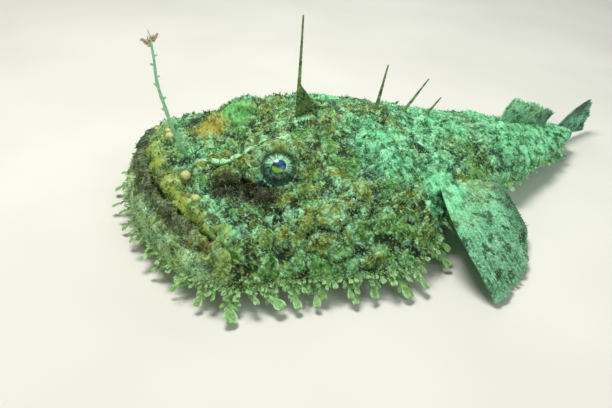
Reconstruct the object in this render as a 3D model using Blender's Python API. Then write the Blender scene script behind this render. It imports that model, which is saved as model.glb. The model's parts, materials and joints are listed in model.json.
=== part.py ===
"""An anglerfish lying on the floor: a still, life-size museum model, as solid pieces.

Lengths are in metres. x runs back from the tip of the lower jaw, y runs out to the fish's
right and z up from the floor. side is -1 for the fish's left and 1 for its right. The body is
one form, given by its outline seen from above and its heights over that outline, and it is
parted into lower jaw, head, torso and tail by narrow gaps. The rear is then bent in plan, and
the origin is put on the floor under the middle of the fish.
"""

import math
import random

import bmesh
import bpy
import numpy as np
from mathutils import Matrix, Vector

# Driving dimensions
TOTAL_LENGTH = 0.90
FRONT_DEPTH = 0.115
MOUTH_CORNER = 0.131
MOUTH_DEPTH = 0.101
MOUTH_BOW = 0.76
NECK = 0.385
TORSO_END = 0.565
TAIL_ROOT = 0.768
BEND_START = 0.40
BEND_ANGLE = math.radians(27.3)
PARTING = 0.0003

# Profiles along the body as pairs of x and size
HALF_WIDTHS = ((0.115, 0.208), (0.135, 0.208), (0.20, 0.217), (0.25, 0.223), (0.30, 0.222),
               (0.345, 0.203), (0.385, 0.160), (0.42, 0.134), (0.47, 0.116), (0.55, 0.092),
               (0.65, 0.062), (0.74, 0.034), (0.768, 0.026))
RIM_HEIGHTS = ((0.0, 0.027), (0.15, 0.028), (0.30, 0.030), (0.385, 0.046), (0.45, 0.052),
               (0.55, 0.048), (0.65, 0.042), (0.768, 0.036))
CROWN_HEIGHTS = ((0.0, 0.110), (0.04, 0.104), (0.08, 0.098), (0.12, 0.105), (0.16, 0.116),
                 (0.20, 0.130), (0.25, 0.141), (0.31, 0.139), (0.36, 0.134), (0.42, 0.124),
                 (0.47, 0.114), (0.55, 0.098), (0.65, 0.072), (0.74, 0.051), (0.768, 0.047))
CROWN_SLOPES = ((0.05, 0.50), (0.12, 0.58), (0.22, 0.86), (0.34, 0.86), (0.45, 0.66),
                (0.70, 0.55))
BELLY_HEIGHTS = ((0.52, 0.0), (0.66, 0.017), (0.768, 0.021))
FLAT_SHARE = 0.55

# Relief of the head: each lump is (x, y, height, spread along x, spread along y)
HEAD_LUMPS = ((0.166, 0.070, 0.021, 0.038, 0.034), (0.165, 0.0, -0.007, 0.055, 0.026),
              (0.090, 0.046, 0.005, 0.022, 0.018), (0.255, 0.085, 0.003, 0.050, 0.022),
              (0.310, 0.160, 0.004, 0.040, 0.030), (0.215, 0.165, 0.005, 0.032, 0.022),
              (0.120, 0.120, 0.005, 0.030, 0.026))
LIP_HEIGHT = 0.006
LIP_OFFSET = 0.010
LIP_SPREAD = 0.008
LIP_GROOVE = 0.005
LIP_GROOVE_SPREAD = 0.004

# Eyes and nostrils
EYE_PLACE = (0.176, 0.090)
EYE_AXIS = Vector((-0.22, 0.72, 0.66)).normalized()
EYE_RADIUS = 0.0225
EYE_SINK = 0.010
LID_RAISE = 0.012
LID_RADIUS = 0.0215
LID_THICKNESS = 0.0048
NOSTRIL_PLACE = (0.064, 0.050)
NOSTRIL_HEIGHT = 0.014
NOSTRIL_RADIUS = 0.0042

# Spines on the midline of the head and back; a web is its reach back and its height
LURE_BASE = 0.083
LURE_LENGTH = 0.178
LURE_LEAN = 0.043
LURE_RADIUS = 0.0022
LURE_BLADE_LENGTH = 0.022
LURE_BLADE_LEANS = (-0.55, 0.5)
LURE_BLADE_WIDTHS = ((0.0, 0.35), (0.35, 1.0), (0.7, 0.75), (1.0, 0.12))
LURE_BLADE_THICKNESS = 0.0018
SECOND_SPINE_BASE = (0.099, -0.014)
SECOND_SPINE_REACH = 0.130
SECOND_SPINE_SWAY = 0.034
SECOND_SPINE_CLEARANCE = (0.0035, 0.008)
SECOND_SPINE_RADIUS = 0.0018
UPRIGHT_SPINES = (("dorsal_spine_3", 0.232, 0.150, 0.0, (0.036, 0.056)),
                  ("dorsal_spine_4", 0.350, 0.078, 0.16, (0.024, 0.014)),
                  ("dorsal_spine_5", 0.390, 0.058, 0.72, (0.020, 0.012)),
                  ("dorsal_spine_6", 0.430, 0.034, 0.85, (0.015, 0.008)))
SPINE_RADIUS = 0.0026
SPINE_WEB_THICKNESSES = (0.0016, 0.0012)
ROOT_SINK = 0.006

# Fins
PECTORAL_RAYS = 15
PECTORAL_STATION = 0.42
PECTORAL_TOP_ROOT = (0.398, 0.112, 0.084)
PECTORAL_LOW_ROOT = (0.503, 0.080, 0.066)
PECTORAL_HUB = (0.405, 0.125)
PECTORAL_ANGLES = (-5.0, 70.0)
PECTORAL_REACHES = (0.162, 0.118)
PECTORAL_ARCH = (-0.010, 0.010, 0.015)
PECTORAL_TIP_HEIGHTS = (0.006, 0.024)
DORSAL_RAYS = 11
DORSAL_SPAN = (0.588, 0.712)
DORSAL_HEIGHTS = (0.042, 0.024)
DORSAL_LEAN = 0.026
ANAL_RAYS = 9
ANAL_SPAN = (0.610, 0.720)
ANAL_TIP = (0.034, -0.040, 0.0035)
CAUDAL_RAYS = 8
CAUDAL_ROOT_HEIGHTS = (0.023, 0.045)
CAUDAL_TIP_HEIGHTS = (0.004, 0.072)
CAUDAL_ROUNDING = 0.014
PELVIC_RAYS = 5
PELVIC_SPAN = (0.245, 0.273)
PELVIC_ROOT = (0.078, 0.0045)
PELVIC_TIP = (0.138, 0.0032)
PELVIC_SPREAD = 0.020
WEB_THICKNESS = 0.0014
RAY_THICKNESS = 0.0032
ROOT_SWELL = 1.7
TIP_SWELL = 0.55
RAY_TIP_REACH = 1.045
PELVIC_HOLLOW = (0.262, 0.105, 0.010, 0.050, 0.055)

# Fringe of flaps along the margin
FLAP_SEED = 7
HEAD_FLAP_SPACING = 0.0245
TAIL_FLAP_SPACING = 0.034
FLAP_CLEARANCE = 0.0105
NECK_FLAP_GAP = 0.035
TORSO_FLAP_START = 0.532
TAIL_FLAP_GAP = 0.030
BIG_FLAPS = (0.030, 0.038)
SMALL_FLAPS = (0.017, 0.023)
FLAP_BREADTHS = (0.42, 0.55)
FLAP_DIPS = (0.55, 0.85)
FLAP_SINK = 0.007
FLAP_LOWEST = 0.006
FLAP_THICKNESSES = (0.0022, 0.0010)
FLAP_WIDTHS = ((0.0, 0.30), (0.24, 0.28), (0.40, 0.82), (0.53, 0.38), (0.77, 1.0), (1.0, 0.28))

# How finely the faceted solids are divided
HEAD_STEPS_ACROSS = 32
BODY_STEPS_ACROSS = 20
JAW_STATIONS = (0.0, 0.14, 0.38, 0.68, 1.0)
HEAD_STATIONS = (0.0, 0.028, 0.065, 0.115, 0.17, 0.235, 0.30, 0.37, 0.44, 0.51, 0.58, 0.65,
                 0.73, 0.81, 0.89, 0.95, 1.0)
TORSO_STEPS = 8
TAIL_STEPS = 9

# The origin is moved here, the middle of the bent fish seen from above
MIDDLE = (0.4276, -0.0004)


def smooth_profile(points, x):
    """Read a smooth curve that passes through a few points and never overshoots them."""
    stations = np.array([point[0] for point in points])
    values = np.array([point[1] for point in points])
    rises = np.diff(values) / np.diff(stations)
    slopes = np.zeros(len(points))
    for index in range(1, len(points) - 1):
        before = rises[index - 1]
        after = rises[index]
        if before * after > 0.0:
            slopes[index] = 2.0 * before * after / (before + after)
    clamped = np.clip(x, stations[0], stations[-1])
    low = np.clip(np.searchsorted(stations, clamped) - 1, 0, len(points) - 2)
    span = stations[low + 1] - stations[low]
    part = (clamped - stations[low]) / span
    square = part * part
    cube = square * part
    return (values[low] * (2.0 * cube - 3.0 * square + 1.0)
            + values[low + 1] * (3.0 * square - 2.0 * cube)
            + slopes[low] * span * (cube - 2.0 * square + part)
            + slopes[low + 1] * span * (cube - square))


def half_width(x):
    """Half the width of the body behind its rounded front."""
    return smooth_profile(HALF_WIDTHS, x)


def outline_measure(x, y):
    """0 on the midline behind the front, 1 on the outline seen from above."""
    front = np.maximum(0.0, (FRONT_DEPTH - x) / FRONT_DEPTH)
    across = y / half_width(np.maximum(x, FRONT_DEPTH))
    return front * front + across * across


def mouth_distance(x, y):
    """Distance in plan behind the mouth line, negative on the lower jaw."""
    reach = half_width(MOUTH_CORNER)
    inner = np.clip(1.0 - (y / reach) ** 2, 0.0004, 1.0)
    line = MOUTH_CORNER - MOUTH_DEPTH * inner ** MOUTH_BOW
    slope = 2.0 * MOUTH_DEPTH * MOUTH_BOW * inner ** (MOUTH_BOW - 1.0) * y / reach ** 2
    return (x - line) / np.sqrt(1.0 + slope * slope)


def lump(x, y, form):
    """A smooth rise or hollow of the skin, the same on both sides."""
    along = (x - form[0]) / form[3]
    across = (np.abs(y) - form[1]) / form[4]
    return form[2] * np.exp(-along * along - across * across)


def top_height(x, y):
    """Height of the upper surface over a point in plan."""
    rim = smooth_profile(RIM_HEIGHTS, x)
    crown = smooth_profile(CROWN_HEIGHTS, x)
    inside = np.clip(1.0 - outline_measure(x, y), 0.0, 1.0)
    slope = smooth_profile(CROWN_SLOPES, x)
    relief = sum(lump(x, y, form) for form in HEAD_LUMPS)
    behind = mouth_distance(x, y)
    relief = relief + LIP_HEIGHT * np.exp(-((np.abs(behind) - LIP_OFFSET) / LIP_SPREAD) ** 2)
    relief = relief - LIP_GROOVE * np.exp(-(behind / LIP_GROOVE_SPREAD) ** 2)
    fade = np.clip(inside * 4.0, 0.0, 1.0)
    return rim + (crown - rim) * inside ** slope + relief * fade


def under_height(x, y):
    """Height of the underside: a flat belly whose edge turns up to the rim."""
    rim = smooth_profile(RIM_HEIGHTS, x)
    belly = smooth_profile(BELLY_HEIGHTS, x)
    outward = np.sqrt(np.clip(outline_measure(x, y), 0.0, 1.0))
    turn = np.clip((outward - FLAT_SHARE) / (1.0 - FLAT_SHARE), 0.0, 1.0)
    rise = 1.0 - np.sqrt(1.0 - turn * turn)
    along = (x - PELVIC_HOLLOW[0]) / PELVIC_HOLLOW[3]
    across = (np.abs(y) - PELVIC_HOLLOW[1]) / PELVIC_HOLLOW[4]
    hollow = PELVIC_HOLLOW[2] * np.clip(2.2 - 2.2 * (along ** 2 + across ** 2), 0.0, 1.0)
    return np.maximum(belly + (rim - belly) * rise, hollow)


def bend(point):
    """Turn the rear of the body in plan towards the fish's right."""
    x, y, z = point
    if x <= BEND_START:
        return Vector((x, y, z))
    radius = (TOTAL_LENGTH - BEND_START) / BEND_ANGLE
    turn = (x - BEND_START) / radius
    centre_x = BEND_START + radius * math.sin(turn)
    centre_y = radius * (1.0 - math.cos(turn))
    return Vector((centre_x - y * math.sin(turn), centre_y + y * math.cos(turn), z))


def linear_colour(hex_colour):
    """Turn a colour written as hexadecimal red, green and blue into linear values."""
    channels = []
    for start in (0, 2, 4):
        value = int(hex_colour[start:start + 2], 16) / 255.0
        if value <= 0.04045:
            channels.append(value / 12.92)
        else:
            channels.append(((value + 0.055) / 1.055) ** 2.4)
    return (*channels, 1.0)


def make_material(name, hex_colour, roughness):
    """One plain finish for a node."""
    material = bpy.data.materials.new(name)
    material.use_nodes = True
    shader = material.node_tree.nodes["Principled BSDF"]
    shader.inputs["Base Color"].default_value = linear_colour(hex_colour)
    shader.inputs["Roughness"].default_value = roughness
    shader.inputs["Metallic"].default_value = 0.0
    material.diffuse_color = linear_colour(hex_colour)
    return material


def make_object(name, vertices, faces):
    """A closed mesh object whose faces point outwards."""
    mesh = bpy.data.meshes.new(name)
    mesh.from_pydata([tuple(vertex) for vertex in vertices], [], faces)
    work = bmesh.new()
    work.from_mesh(mesh)
    bmesh.ops.recalc_face_normals(work, faces=work.faces)
    if work.calc_volume(signed=True) < 0.0:
        bmesh.ops.reverse_faces(work, faces=work.faces)
    work.to_mesh(mesh)
    work.free()
    obj = bpy.data.objects.new(name, mesh)
    bpy.context.scene.collection.objects.link(obj)
    return obj


def apply_modifiers(obj):
    """Turn an object's modifiers into its mesh."""
    bpy.context.view_layer.update()
    graph = bpy.context.evaluated_depsgraph_get()
    mesh = bpy.data.meshes.new_from_object(obj.evaluated_get(graph))
    obj.modifiers.clear()
    obj.data = mesh


def keep_largest_shell(obj):
    """Drop loose scraps and sealed hollows: only the largest closed surface stays."""
    work = bmesh.new()
    work.from_mesh(obj.data)
    bmesh.ops.dissolve_degenerate(work, edges=work.edges, dist=0.000001)
    bmesh.ops.triangulate(work, faces=work.faces)
    unseen = set(work.faces)
    shells = []
    while unseen:
        front = [unseen.pop()]
        shell = list(front)
        while front:
            face = front.pop()
            for edge in face.edges:
                for other in edge.link_faces:
                    if other in unseen:
                        unseen.remove(other)
                        front.append(other)
                        shell.append(other)
        shells.append(shell)
    shells.sort(key=len, reverse=True)
    scraps = [face for shell in shells[1:] for face in shell]
    bmesh.ops.delete(work, geom=scraps, context="FACES")
    work.to_mesh(obj.data)
    work.free()


def boolean(obj, operation, pieces):
    """Fuse pieces to a node or cut them from it, in one step on their collection."""
    group = bpy.data.collections.new(obj.name + "_pieces")
    bpy.context.scene.collection.children.link(group)
    for piece in pieces:
        bpy.context.scene.collection.objects.unlink(piece)
        group.objects.link(piece)
    modifier = obj.modifiers.new(operation.title(), "BOOLEAN")
    modifier.operation = operation
    modifier.operand_type = "COLLECTION"
    modifier.collection = group
    # The exact solver leaves open edges where a flap meets the thin margin
    modifier.solver = "MANIFOLD"
    apply_modifiers(obj)
    for piece in pieces:
        bpy.data.objects.remove(piece)
    bpy.data.collections.remove(group)
    keep_largest_shell(obj)


def swollen_copy(obj, swell):
    """A copy of a node made larger all round, which cuts a neighbour clear of it."""
    mesh = obj.data.copy()
    directions = [Vector(vertex.normal) for vertex in mesh.vertices]
    for vertex, direction in zip(mesh.vertices, directions):
        vertex.co = vertex.co + direction * swell
    copy = bpy.data.objects.new(obj.name + "_clearance", mesh)
    bpy.context.scene.collection.objects.link(copy)
    return copy


def cut_clear(obj, neighbours):
    """Trim a fin, spine or flap so that it meets its neighbours across a narrow gap."""
    boolean(obj, "DIFFERENCE", [swollen_copy(other, PARTING * 1.35) for other in neighbours])


def station_plan(corner, depth, bow, steps, shift):
    """Points in plan along one station, from the fish's left rim to its right rim."""
    width = float(half_width(corner))
    points = []
    for step in range(steps + 1):
        angle = math.pi * (step / steps - 0.5)
        inner = max(0.0, math.cos(angle))
        if step in (0, steps):
            inner = 0.0
        points.append(Vector((corner - depth * inner ** (2.0 * bow), width * math.sin(angle))))
    if shift == 0.0:
        return points
    moved = []
    for step, point in enumerate(points):
        ahead = points[min(step + 1, steps)]
        behind = points[max(step - 1, 0)]
        along = (ahead - behind).normalized()
        moved.append(point + Vector((along.y, -along.x)) * shift)
    return moved


def body_piece(name, stations, steps, edge_first):
    """A length of the body as a closed solid through its stations."""
    vertices = []
    rows = []
    for index, (corner, depth, bow, shift) in enumerate(stations):
        plan = station_plan(corner, depth, bow, steps, shift)
        top = []
        under = []
        for step, point in enumerate(plan):
            on_edge = step in (0, steps) or (edge_first and index == 0)
            rim = float(smooth_profile(RIM_HEIGHTS, point.x))
            upper = rim if on_edge else float(top_height(point.x, point.y))
            lower = rim if on_edge else float(under_height(point.x, point.y))
            top.append(len(vertices))
            vertices.append(bend((point.x, point.y, upper)))
            if on_edge:
                under.append(top[-1])
            else:
                under.append(len(vertices))
                vertices.append(bend((point.x, point.y, lower)))
        rows.append((top, under))
    faces = []
    for (top_a, under_a), (top_b, under_b) in zip(rows, rows[1:]):
        for step in range(steps):
            faces.append((top_a[step], top_a[step + 1], top_b[step + 1], top_b[step]))
            faces.append((under_a[step], under_b[step], under_b[step + 1], under_a[step + 1]))
    closed_rows = [rows[-1]] if edge_first else [rows[0], rows[-1]]
    for top, under in closed_rows:
        for step in range(steps):
            faces.append((top[step], top[step + 1], under[step + 1], under[step]))
    faces = [tuple(dict.fromkeys(face)) for face in faces]
    triangles = []
    for face in faces:
        for corner in range(1, len(face) - 1):
            triangles.append((face[0], face[corner], face[corner + 1]))
    return make_object(name, vertices, triangles)


def mouth_station(share, shift):
    """A station of the lower jaw: from the front edge at 0 to the mouth line at 1."""
    corner = FRONT_DEPTH + (MOUTH_CORNER - FRONT_DEPTH) * share
    depth = FRONT_DEPTH + (MOUTH_DEPTH - FRONT_DEPTH) * share
    bow = 0.5 + (MOUTH_BOW - 0.5) * share
    return (corner, depth, bow, shift)


def head_station(share, shift):
    """A station of the head: from the mouth line at 0 to the straight neck at 1."""
    corner = MOUTH_CORNER + (NECK - MOUTH_CORNER) * share
    depth = MOUTH_DEPTH * (1.0 - share)
    bow = MOUTH_BOW + (1.0 - MOUTH_BOW) * share
    return (corner, depth, bow, shift)


def straight_stations(start, end, steps):
    """Straight stations with half a parting left at both ends."""
    low = start + PARTING / 2.0
    high = end - PARTING / 2.0
    return [(low + (high - low) * step / steps, 0.0, 1.0, 0.0) for step in range(steps + 1)]


def plate(name, points, thicknesses):
    """A thin closed plate over a grid of points, split into triangles alike on both faces."""
    rows = len(points)
    columns = len(points[0])
    front = []
    back = []
    for row in range(rows):
        for column in range(columns):
            down = points[min(row + 1, rows - 1)][column] - points[max(row - 1, 0)][column]
            side = points[row][min(column + 1, columns - 1)] - points[row][max(column - 1, 0)]
            normal = side.cross(down).normalized()
            offset = normal * thicknesses[row][column] / 2.0
            front.append(points[row][column] + offset)
            back.append(points[row][column] - offset)
    count = rows * columns
    faces = []
    for row in range(rows - 1):
        for column in range(columns - 1):
            a = row * columns + column
            b = a + 1
            c = b + columns
            d = a + columns
            faces += [(a, b, c), (a, c, d)]
            faces += [(a + count, c + count, b + count), (a + count, d + count, c + count)]
    edge = [row * columns for row in range(rows)]
    edge += [(rows - 1) * columns + column for column in range(1, columns)]
    edge += [row * columns + columns - 1 for row in range(rows - 2, -1, -1)]
    edge += [column for column in range(columns - 2, 0, -1)]
    for start, end in zip(edge, edge[1:] + edge[:1]):
        faces += [(start, end, end + count), (start, end + count, start + count)]
    return make_object(name, front + back, faces)


def rod(name, path, radii, sides):
    """A round spine of changing thickness along a path, closed at both ends."""
    vertices = []
    side_way = Vector((0.0, 1.0, 0.0))
    for index, point in enumerate(path):
        along = (path[min(index + 1, len(path) - 1)] - path[max(index - 1, 0)]).normalized()
        side_way = (side_way - along * side_way.dot(along)).normalized()
        other_way = along.cross(side_way)
        for corner in range(sides):
            angle = 2.0 * math.pi * corner / sides
            spoke = side_way * math.cos(angle) + other_way * math.sin(angle)
            vertices.append(point + spoke * radii[index])
    faces = []
    for index in range(len(path) - 1):
        for corner in range(sides):
            a = index * sides + corner
            b = index * sides + (corner + 1) % sides
            faces.append((a, b, b + sides, a + sides))
    faces.append(tuple(range(sides)))
    last = (len(path) - 1) * sides
    faces.append(tuple(last + corner for corner in range(sides)))
    return make_object(name, vertices, faces)


def ball(name, centre, axis, radius):
    """A round ball whose poles lie along an axis."""
    mesh = bpy.data.meshes.new(name)
    work = bmesh.new()
    turn = axis.to_track_quat("Z", "Y").to_matrix().to_4x4()
    bmesh.ops.create_uvsphere(work, u_segments=20, v_segments=12, radius=radius,
                              matrix=Matrix.Translation(centre) @ turn)
    work.to_mesh(mesh)
    work.free()
    obj = bpy.data.objects.new(name, mesh)
    bpy.context.scene.collection.objects.link(obj)
    return obj


def ring(name, centre, axis, radius, thickness):
    """A round ring, the fleshy rim of an eye."""
    around = 22
    section = 8
    turn = axis.to_track_quat("Z", "Y").to_matrix()
    vertices = []
    for step in range(around):
        angle = 2.0 * math.pi * step / around
        for corner in range(section):
            tilt = 2.0 * math.pi * corner / section
            reach = radius + thickness * math.cos(tilt)
            local = Vector((reach * math.cos(angle), reach * math.sin(angle),
                            thickness * math.sin(tilt)))
            vertices.append(centre + turn @ local)
    faces = []
    for step in range(around):
        following = (step + 1) % around
        for corner in range(section):
            over = (corner + 1) % section
            faces.append((step * section + corner, following * section + corner,
                          following * section + over, step * section + over))
    return make_object(name, vertices, faces)


def eye_centre(side):
    """Middle of an eyeball, sunk under the skin of its mound."""
    x, y = EYE_PLACE
    height = float(top_height(x, y))
    return Vector((x, side * y, height - EYE_SINK))


def eye_axis(side):
    """The way an eye looks: outwards, upwards and a little forwards."""
    return Vector((EYE_AXIS.x, side * EYE_AXIS.y, EYE_AXIS.z))


def turn_with(station, point):
    """Turn a point rigidly with the body at one station, as a limb turns with what carries it."""
    offset = Vector(point) - Vector((station, 0.0, 0.0))
    start = bend((station, 0.0, 0.0))
    sideways = bend((station, 1.0, 0.0)) - start
    backwards = Vector((sideways.y, -sideways.x, 0.0))
    return start + backwards * offset.x + sideways * offset.y + Vector((0.0, 0.0, offset.z))


def fin(name, roots, tips, arch, rows, place=bend):
    """A fin whose rays are ridges of its own web, from root points to tip points."""
    rays = len(roots)
    columns = 2 * rays - 1
    points = []
    thicknesses = []
    for row in range(rows + 1):
        out = row / rows
        line = []
        thick = []
        for column in range(columns):
            low = column // 2
            high = min(rays - 1, low + column % 2)
            root = (roots[low] + roots[high]) / 2.0
            tip = (tips[low] + tips[high]) / 2.0
            on_ray = column % 2 == 0
            reach = out * (RAY_TIP_REACH if on_ray else 1.0)
            point = root.lerp(tip, reach) + arch * math.sin(math.pi * out)
            taper = ROOT_SWELL + (TIP_SWELL - ROOT_SWELL) * out
            line.append(place(point))
            thick.append((RAY_THICKNESS if on_ray else WEB_THICKNESS) * taper)
        points.append(line)
        thicknesses.append(thick)
    return plate(name, points, thicknesses)


def spread_between(start, end, count):
    """Evenly spaced points from start to end."""
    return [start.lerp(end, index / (count - 1)) for index in range(count)]


def between(pair, share):
    """A value between two ends."""
    return pair[0] + (pair[1] - pair[0]) * share


def make_pectoral_fin(side, name):
    """The broad fan behind the gill opening, laid out and down to the floor."""
    flip = Vector((1.0, side, 1.0))
    roots = spread_between(Vector(PECTORAL_TOP_ROOT) * flip, Vector(PECTORAL_LOW_ROOT) * flip,
                           PECTORAL_RAYS)
    tips = []
    for index in range(PECTORAL_RAYS):
        share = index / (PECTORAL_RAYS - 1)
        angle = math.radians(between(PECTORAL_ANGLES, share))
        reach = between(PECTORAL_REACHES, 1.0 - (1.0 - share) ** 2)
        x = PECTORAL_HUB[0] + reach * math.sin(angle)
        y = PECTORAL_HUB[1] + reach * math.cos(angle)
        tips.append(Vector((x, side * y, between(PECTORAL_TIP_HEIGHTS, share * share))))
    return fin(name, roots, tips, Vector(PECTORAL_ARCH) * flip, 6,
               lambda point: turn_with(PECTORAL_STATION, point))


def make_dorsal_fin():
    """The soft fin along the top of the tail."""
    roots = []
    tips = []
    for index in range(DORSAL_RAYS):
        share = index / (DORSAL_RAYS - 1)
        x = between(DORSAL_SPAN, share)
        ground = float(top_height(x, 0.0))
        roots.append(Vector((x, 0.0, ground - ROOT_SINK)))
        height = ground + between(DORSAL_HEIGHTS, share * share)
        tips.append(Vector((x + DORSAL_LEAN, 0.0, height)))
    return fin("dorsal_fin", roots, tips, Vector((0.0, 0.004, 0.0)), 3)


def make_anal_fin():
    """The soft fin under the tail, laid over to the fish's left above the floor."""
    roots = []
    tips = []
    for index in range(ANAL_RAYS):
        x = between(ANAL_SPAN, index / (ANAL_RAYS - 1))
        roots.append(Vector((x, -0.006, float(under_height(x, 0.0)) + 0.003)))
        tips.append(Vector((x + ANAL_TIP[0], ANAL_TIP[1], ANAL_TIP[2])))
    return fin("anal_fin", roots, tips, Vector((0.0, 0.0, -0.001)), 3)


def make_caudal_fin():
    """The upright fan at the end of the tail."""
    roots = []
    tips = []
    for index in range(CAUDAL_RAYS):
        share = index / (CAUDAL_RAYS - 1)
        from_middle = 2.0 * share - 1.0
        x = TOTAL_LENGTH - ROOT_SINK - CAUDAL_ROUNDING * from_middle * from_middle
        roots.append(Vector((TAIL_ROOT - 0.004, 0.0, between(CAUDAL_ROOT_HEIGHTS, share))))
        tips.append(Vector((x, 0.0, between(CAUDAL_TIP_HEIGHTS, share))))
    return fin("caudal_fin", roots, tips, Vector((0.0, 0.006, 0.0)), 4)


def make_pelvic_fin(side, name):
    """The short stout fin under the throat, flat on the floor."""
    roots = []
    tips = []
    for index in range(PELVIC_RAYS):
        share = index / (PELVIC_RAYS - 1)
        x = between(PELVIC_SPAN, share)
        roots.append(Vector((x, side * PELVIC_ROOT[0], PELVIC_ROOT[1])))
        reach = PELVIC_TIP[0] - 0.8 * PELVIC_SPREAD * share
        tips.append(Vector((x + PELVIC_SPREAD * share, side * reach, PELVIC_TIP[1])))
    return fin(name, roots, tips, Vector((0.0, 0.0, 0.0)), 3)


def flap(name, root, out, along, length, width, dip):
    """A branched skin flap: a tapered strip that widens into lobes and hangs towards its tip."""
    points = []
    thicknesses = []
    place = root.copy()
    previous = 0.0
    for share, wide in FLAP_WIDTHS:
        tilt = dip * (0.45 + 0.75 * share)
        way = out * math.cos(tilt) - Vector((0.0, 0.0, math.sin(tilt)))
        place = place + way * length * (share - previous)
        previous = share
        half = along * width * wide / 2.0
        points.append([bend(place - half), bend(place + half)])
        thick = between(FLAP_THICKNESSES, share)
        thicknesses.append([thick, thick])
    return plate(name, points, thicknesses)


def margin_places(start, end, spacing):
    """Places along the outline between two distances back, with the way out at each."""
    samples = []
    for step in range(161):
        angle = math.pi / 2.0 * step / 160.0
        x = FRONT_DEPTH * (1.0 - math.cos(angle))
        samples.append(Vector((x, float(half_width(FRONT_DEPTH)) * math.sin(angle))))
    for step in range(1, 301):
        x = FRONT_DEPTH + (TAIL_ROOT - FRONT_DEPTH) * step / 300.0
        samples.append(Vector((x, float(half_width(x)))))
    places = []
    travelled = 0.0
    wanted = None
    for before, after in zip(samples, samples[1:]):
        gap = (after - before).length
        travelled += gap
        if after.x < start or after.x > end:
            continue
        if wanted is None or travelled >= wanted:
            along = (after - before).normalized()
            places.append((after, Vector((-along.y, along.x)), along))
            wanted = travelled + spacing
    return places


def fringe(start, end, spacing, big, seed):
    """Flaps along both sides of the margin between two distances back, big and small in turn."""
    chance = random.Random(seed)
    pieces = []
    for number, (place, outward, along) in enumerate(margin_places(start, end, spacing)):
        for side in (-1, 1):
            length = chance.uniform(*(SMALL_FLAPS if number % 2 else big))
            width = length * chance.uniform(*FLAP_BREADTHS)
            height = float(smooth_profile(RIM_HEIGHTS, place.x)) - 0.002
            steepest = math.asin(min(1.0, (height - FLAP_LOWEST) / length))
            dip = min(chance.uniform(*FLAP_DIPS), steepest)
            sunk = place - outward * FLAP_SINK
            root = Vector((sunk.x, side * sunk.y, height + 0.003))
            out = Vector((outward.x, side * outward.y, 0.0))
            way = Vector((along.x, side * along.y, 0.0))
            name = "flap_%d_%d" % (number, side)
            pieces.append(flap(name, root, out, way, length + FLAP_SINK, width, dip))
    return pieces


def make_lure():
    """The first spine, the fishing rod, with its forked flap at the tip."""
    base = Vector((LURE_BASE, 0.0, float(top_height(LURE_BASE, 0.0)) - ROOT_SINK))
    path = []
    radii = []
    steps = 9
    for step in range(steps + 1):
        share = step / steps
        lean = LURE_LEAN * share * (2.0 - share)
        path.append(base + Vector((-lean, -0.006 * share, LURE_LENGTH * share)))
        radii.append(LURE_RADIUS * (1.35 - 0.85 * share))
    rod_piece = rod("illicium", path, radii, 7)
    tip = path[-1] - Vector((0.0, 0.0, 0.004))
    blades = []
    for number, lean in enumerate(LURE_BLADE_LEANS):
        points = []
        thicknesses = []
        for share, wide in LURE_BLADE_WIDTHS:
            rise = LURE_BLADE_LENGTH * share
            centre = tip + Vector((lean * rise, 0.004 * number, rise))
            half = Vector((0.0045 * wide, 0.0022 * wide, 0.0))
            points.append([centre - half, centre + half])
            thicknesses.append([LURE_BLADE_THICKNESS, LURE_BLADE_THICKNESS])
        blades.append(plate("lure_blade_%d" % number, points, thicknesses))
    boolean(rod_piece, "UNION", blades)
    return rod_piece


def make_second_spine():
    """The second spine, laid back over the snout and the left brow."""
    path = []
    radii = []
    steps = 12
    for step in range(steps + 1):
        share = step / steps
        x = SECOND_SPINE_BASE[0] + SECOND_SPINE_REACH * share
        y = SECOND_SPINE_BASE[1] - SECOND_SPINE_SWAY * math.sin(math.pi * 0.75 * share)
        clear = SECOND_SPINE_CLEARANCE[0] + SECOND_SPINE_CLEARANCE[1] * math.sin(math.pi * share)
        if step == 0:
            clear = -ROOT_SINK
        path.append(Vector((x, y, float(top_height(x, y)) + clear)))
        radii.append(SECOND_SPINE_RADIUS * (1.3 - 0.75 * share))
    return rod("dorsal_spine_2", path, radii, 7)


def spine_with_web(name, base_x, length, lean, web):
    """An upright spine with a low sail of skin behind its root."""
    base = Vector((base_x, 0.0, float(top_height(base_x, 0.0)) - ROOT_SINK))
    path = []
    radii = []
    steps = 6
    for step in range(steps + 1):
        share = step / steps
        path.append(bend(base + Vector((lean * share * length, 0.0, length * share))))
        radii.append(SPINE_RADIUS * (1.25 - 0.85 * share))
    spine = rod(name, path, radii, 7)
    points = []
    thicknesses = []
    for share in (0.0, 0.25, 0.5, 1.0):
        x = base_x + lean * length * 0.5 * share
        foot = x + web[0] * (1.0 - share)
        ground = float(top_height(foot, 0.0)) - ROOT_SINK
        low = Vector((foot, 0.0, ground + web[1] * share * share))
        high = Vector((x - 0.0005, 0.0, base.z + web[1] * share))
        points.append([bend(high), bend(low + Vector((0.001, 0.0, 0.0)))])
        thicknesses.append(list(SPINE_WEB_THICKNESSES))
    boolean(spine, "UNION", [plate(name + "_web", points, thicknesses)])
    return spine


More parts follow.
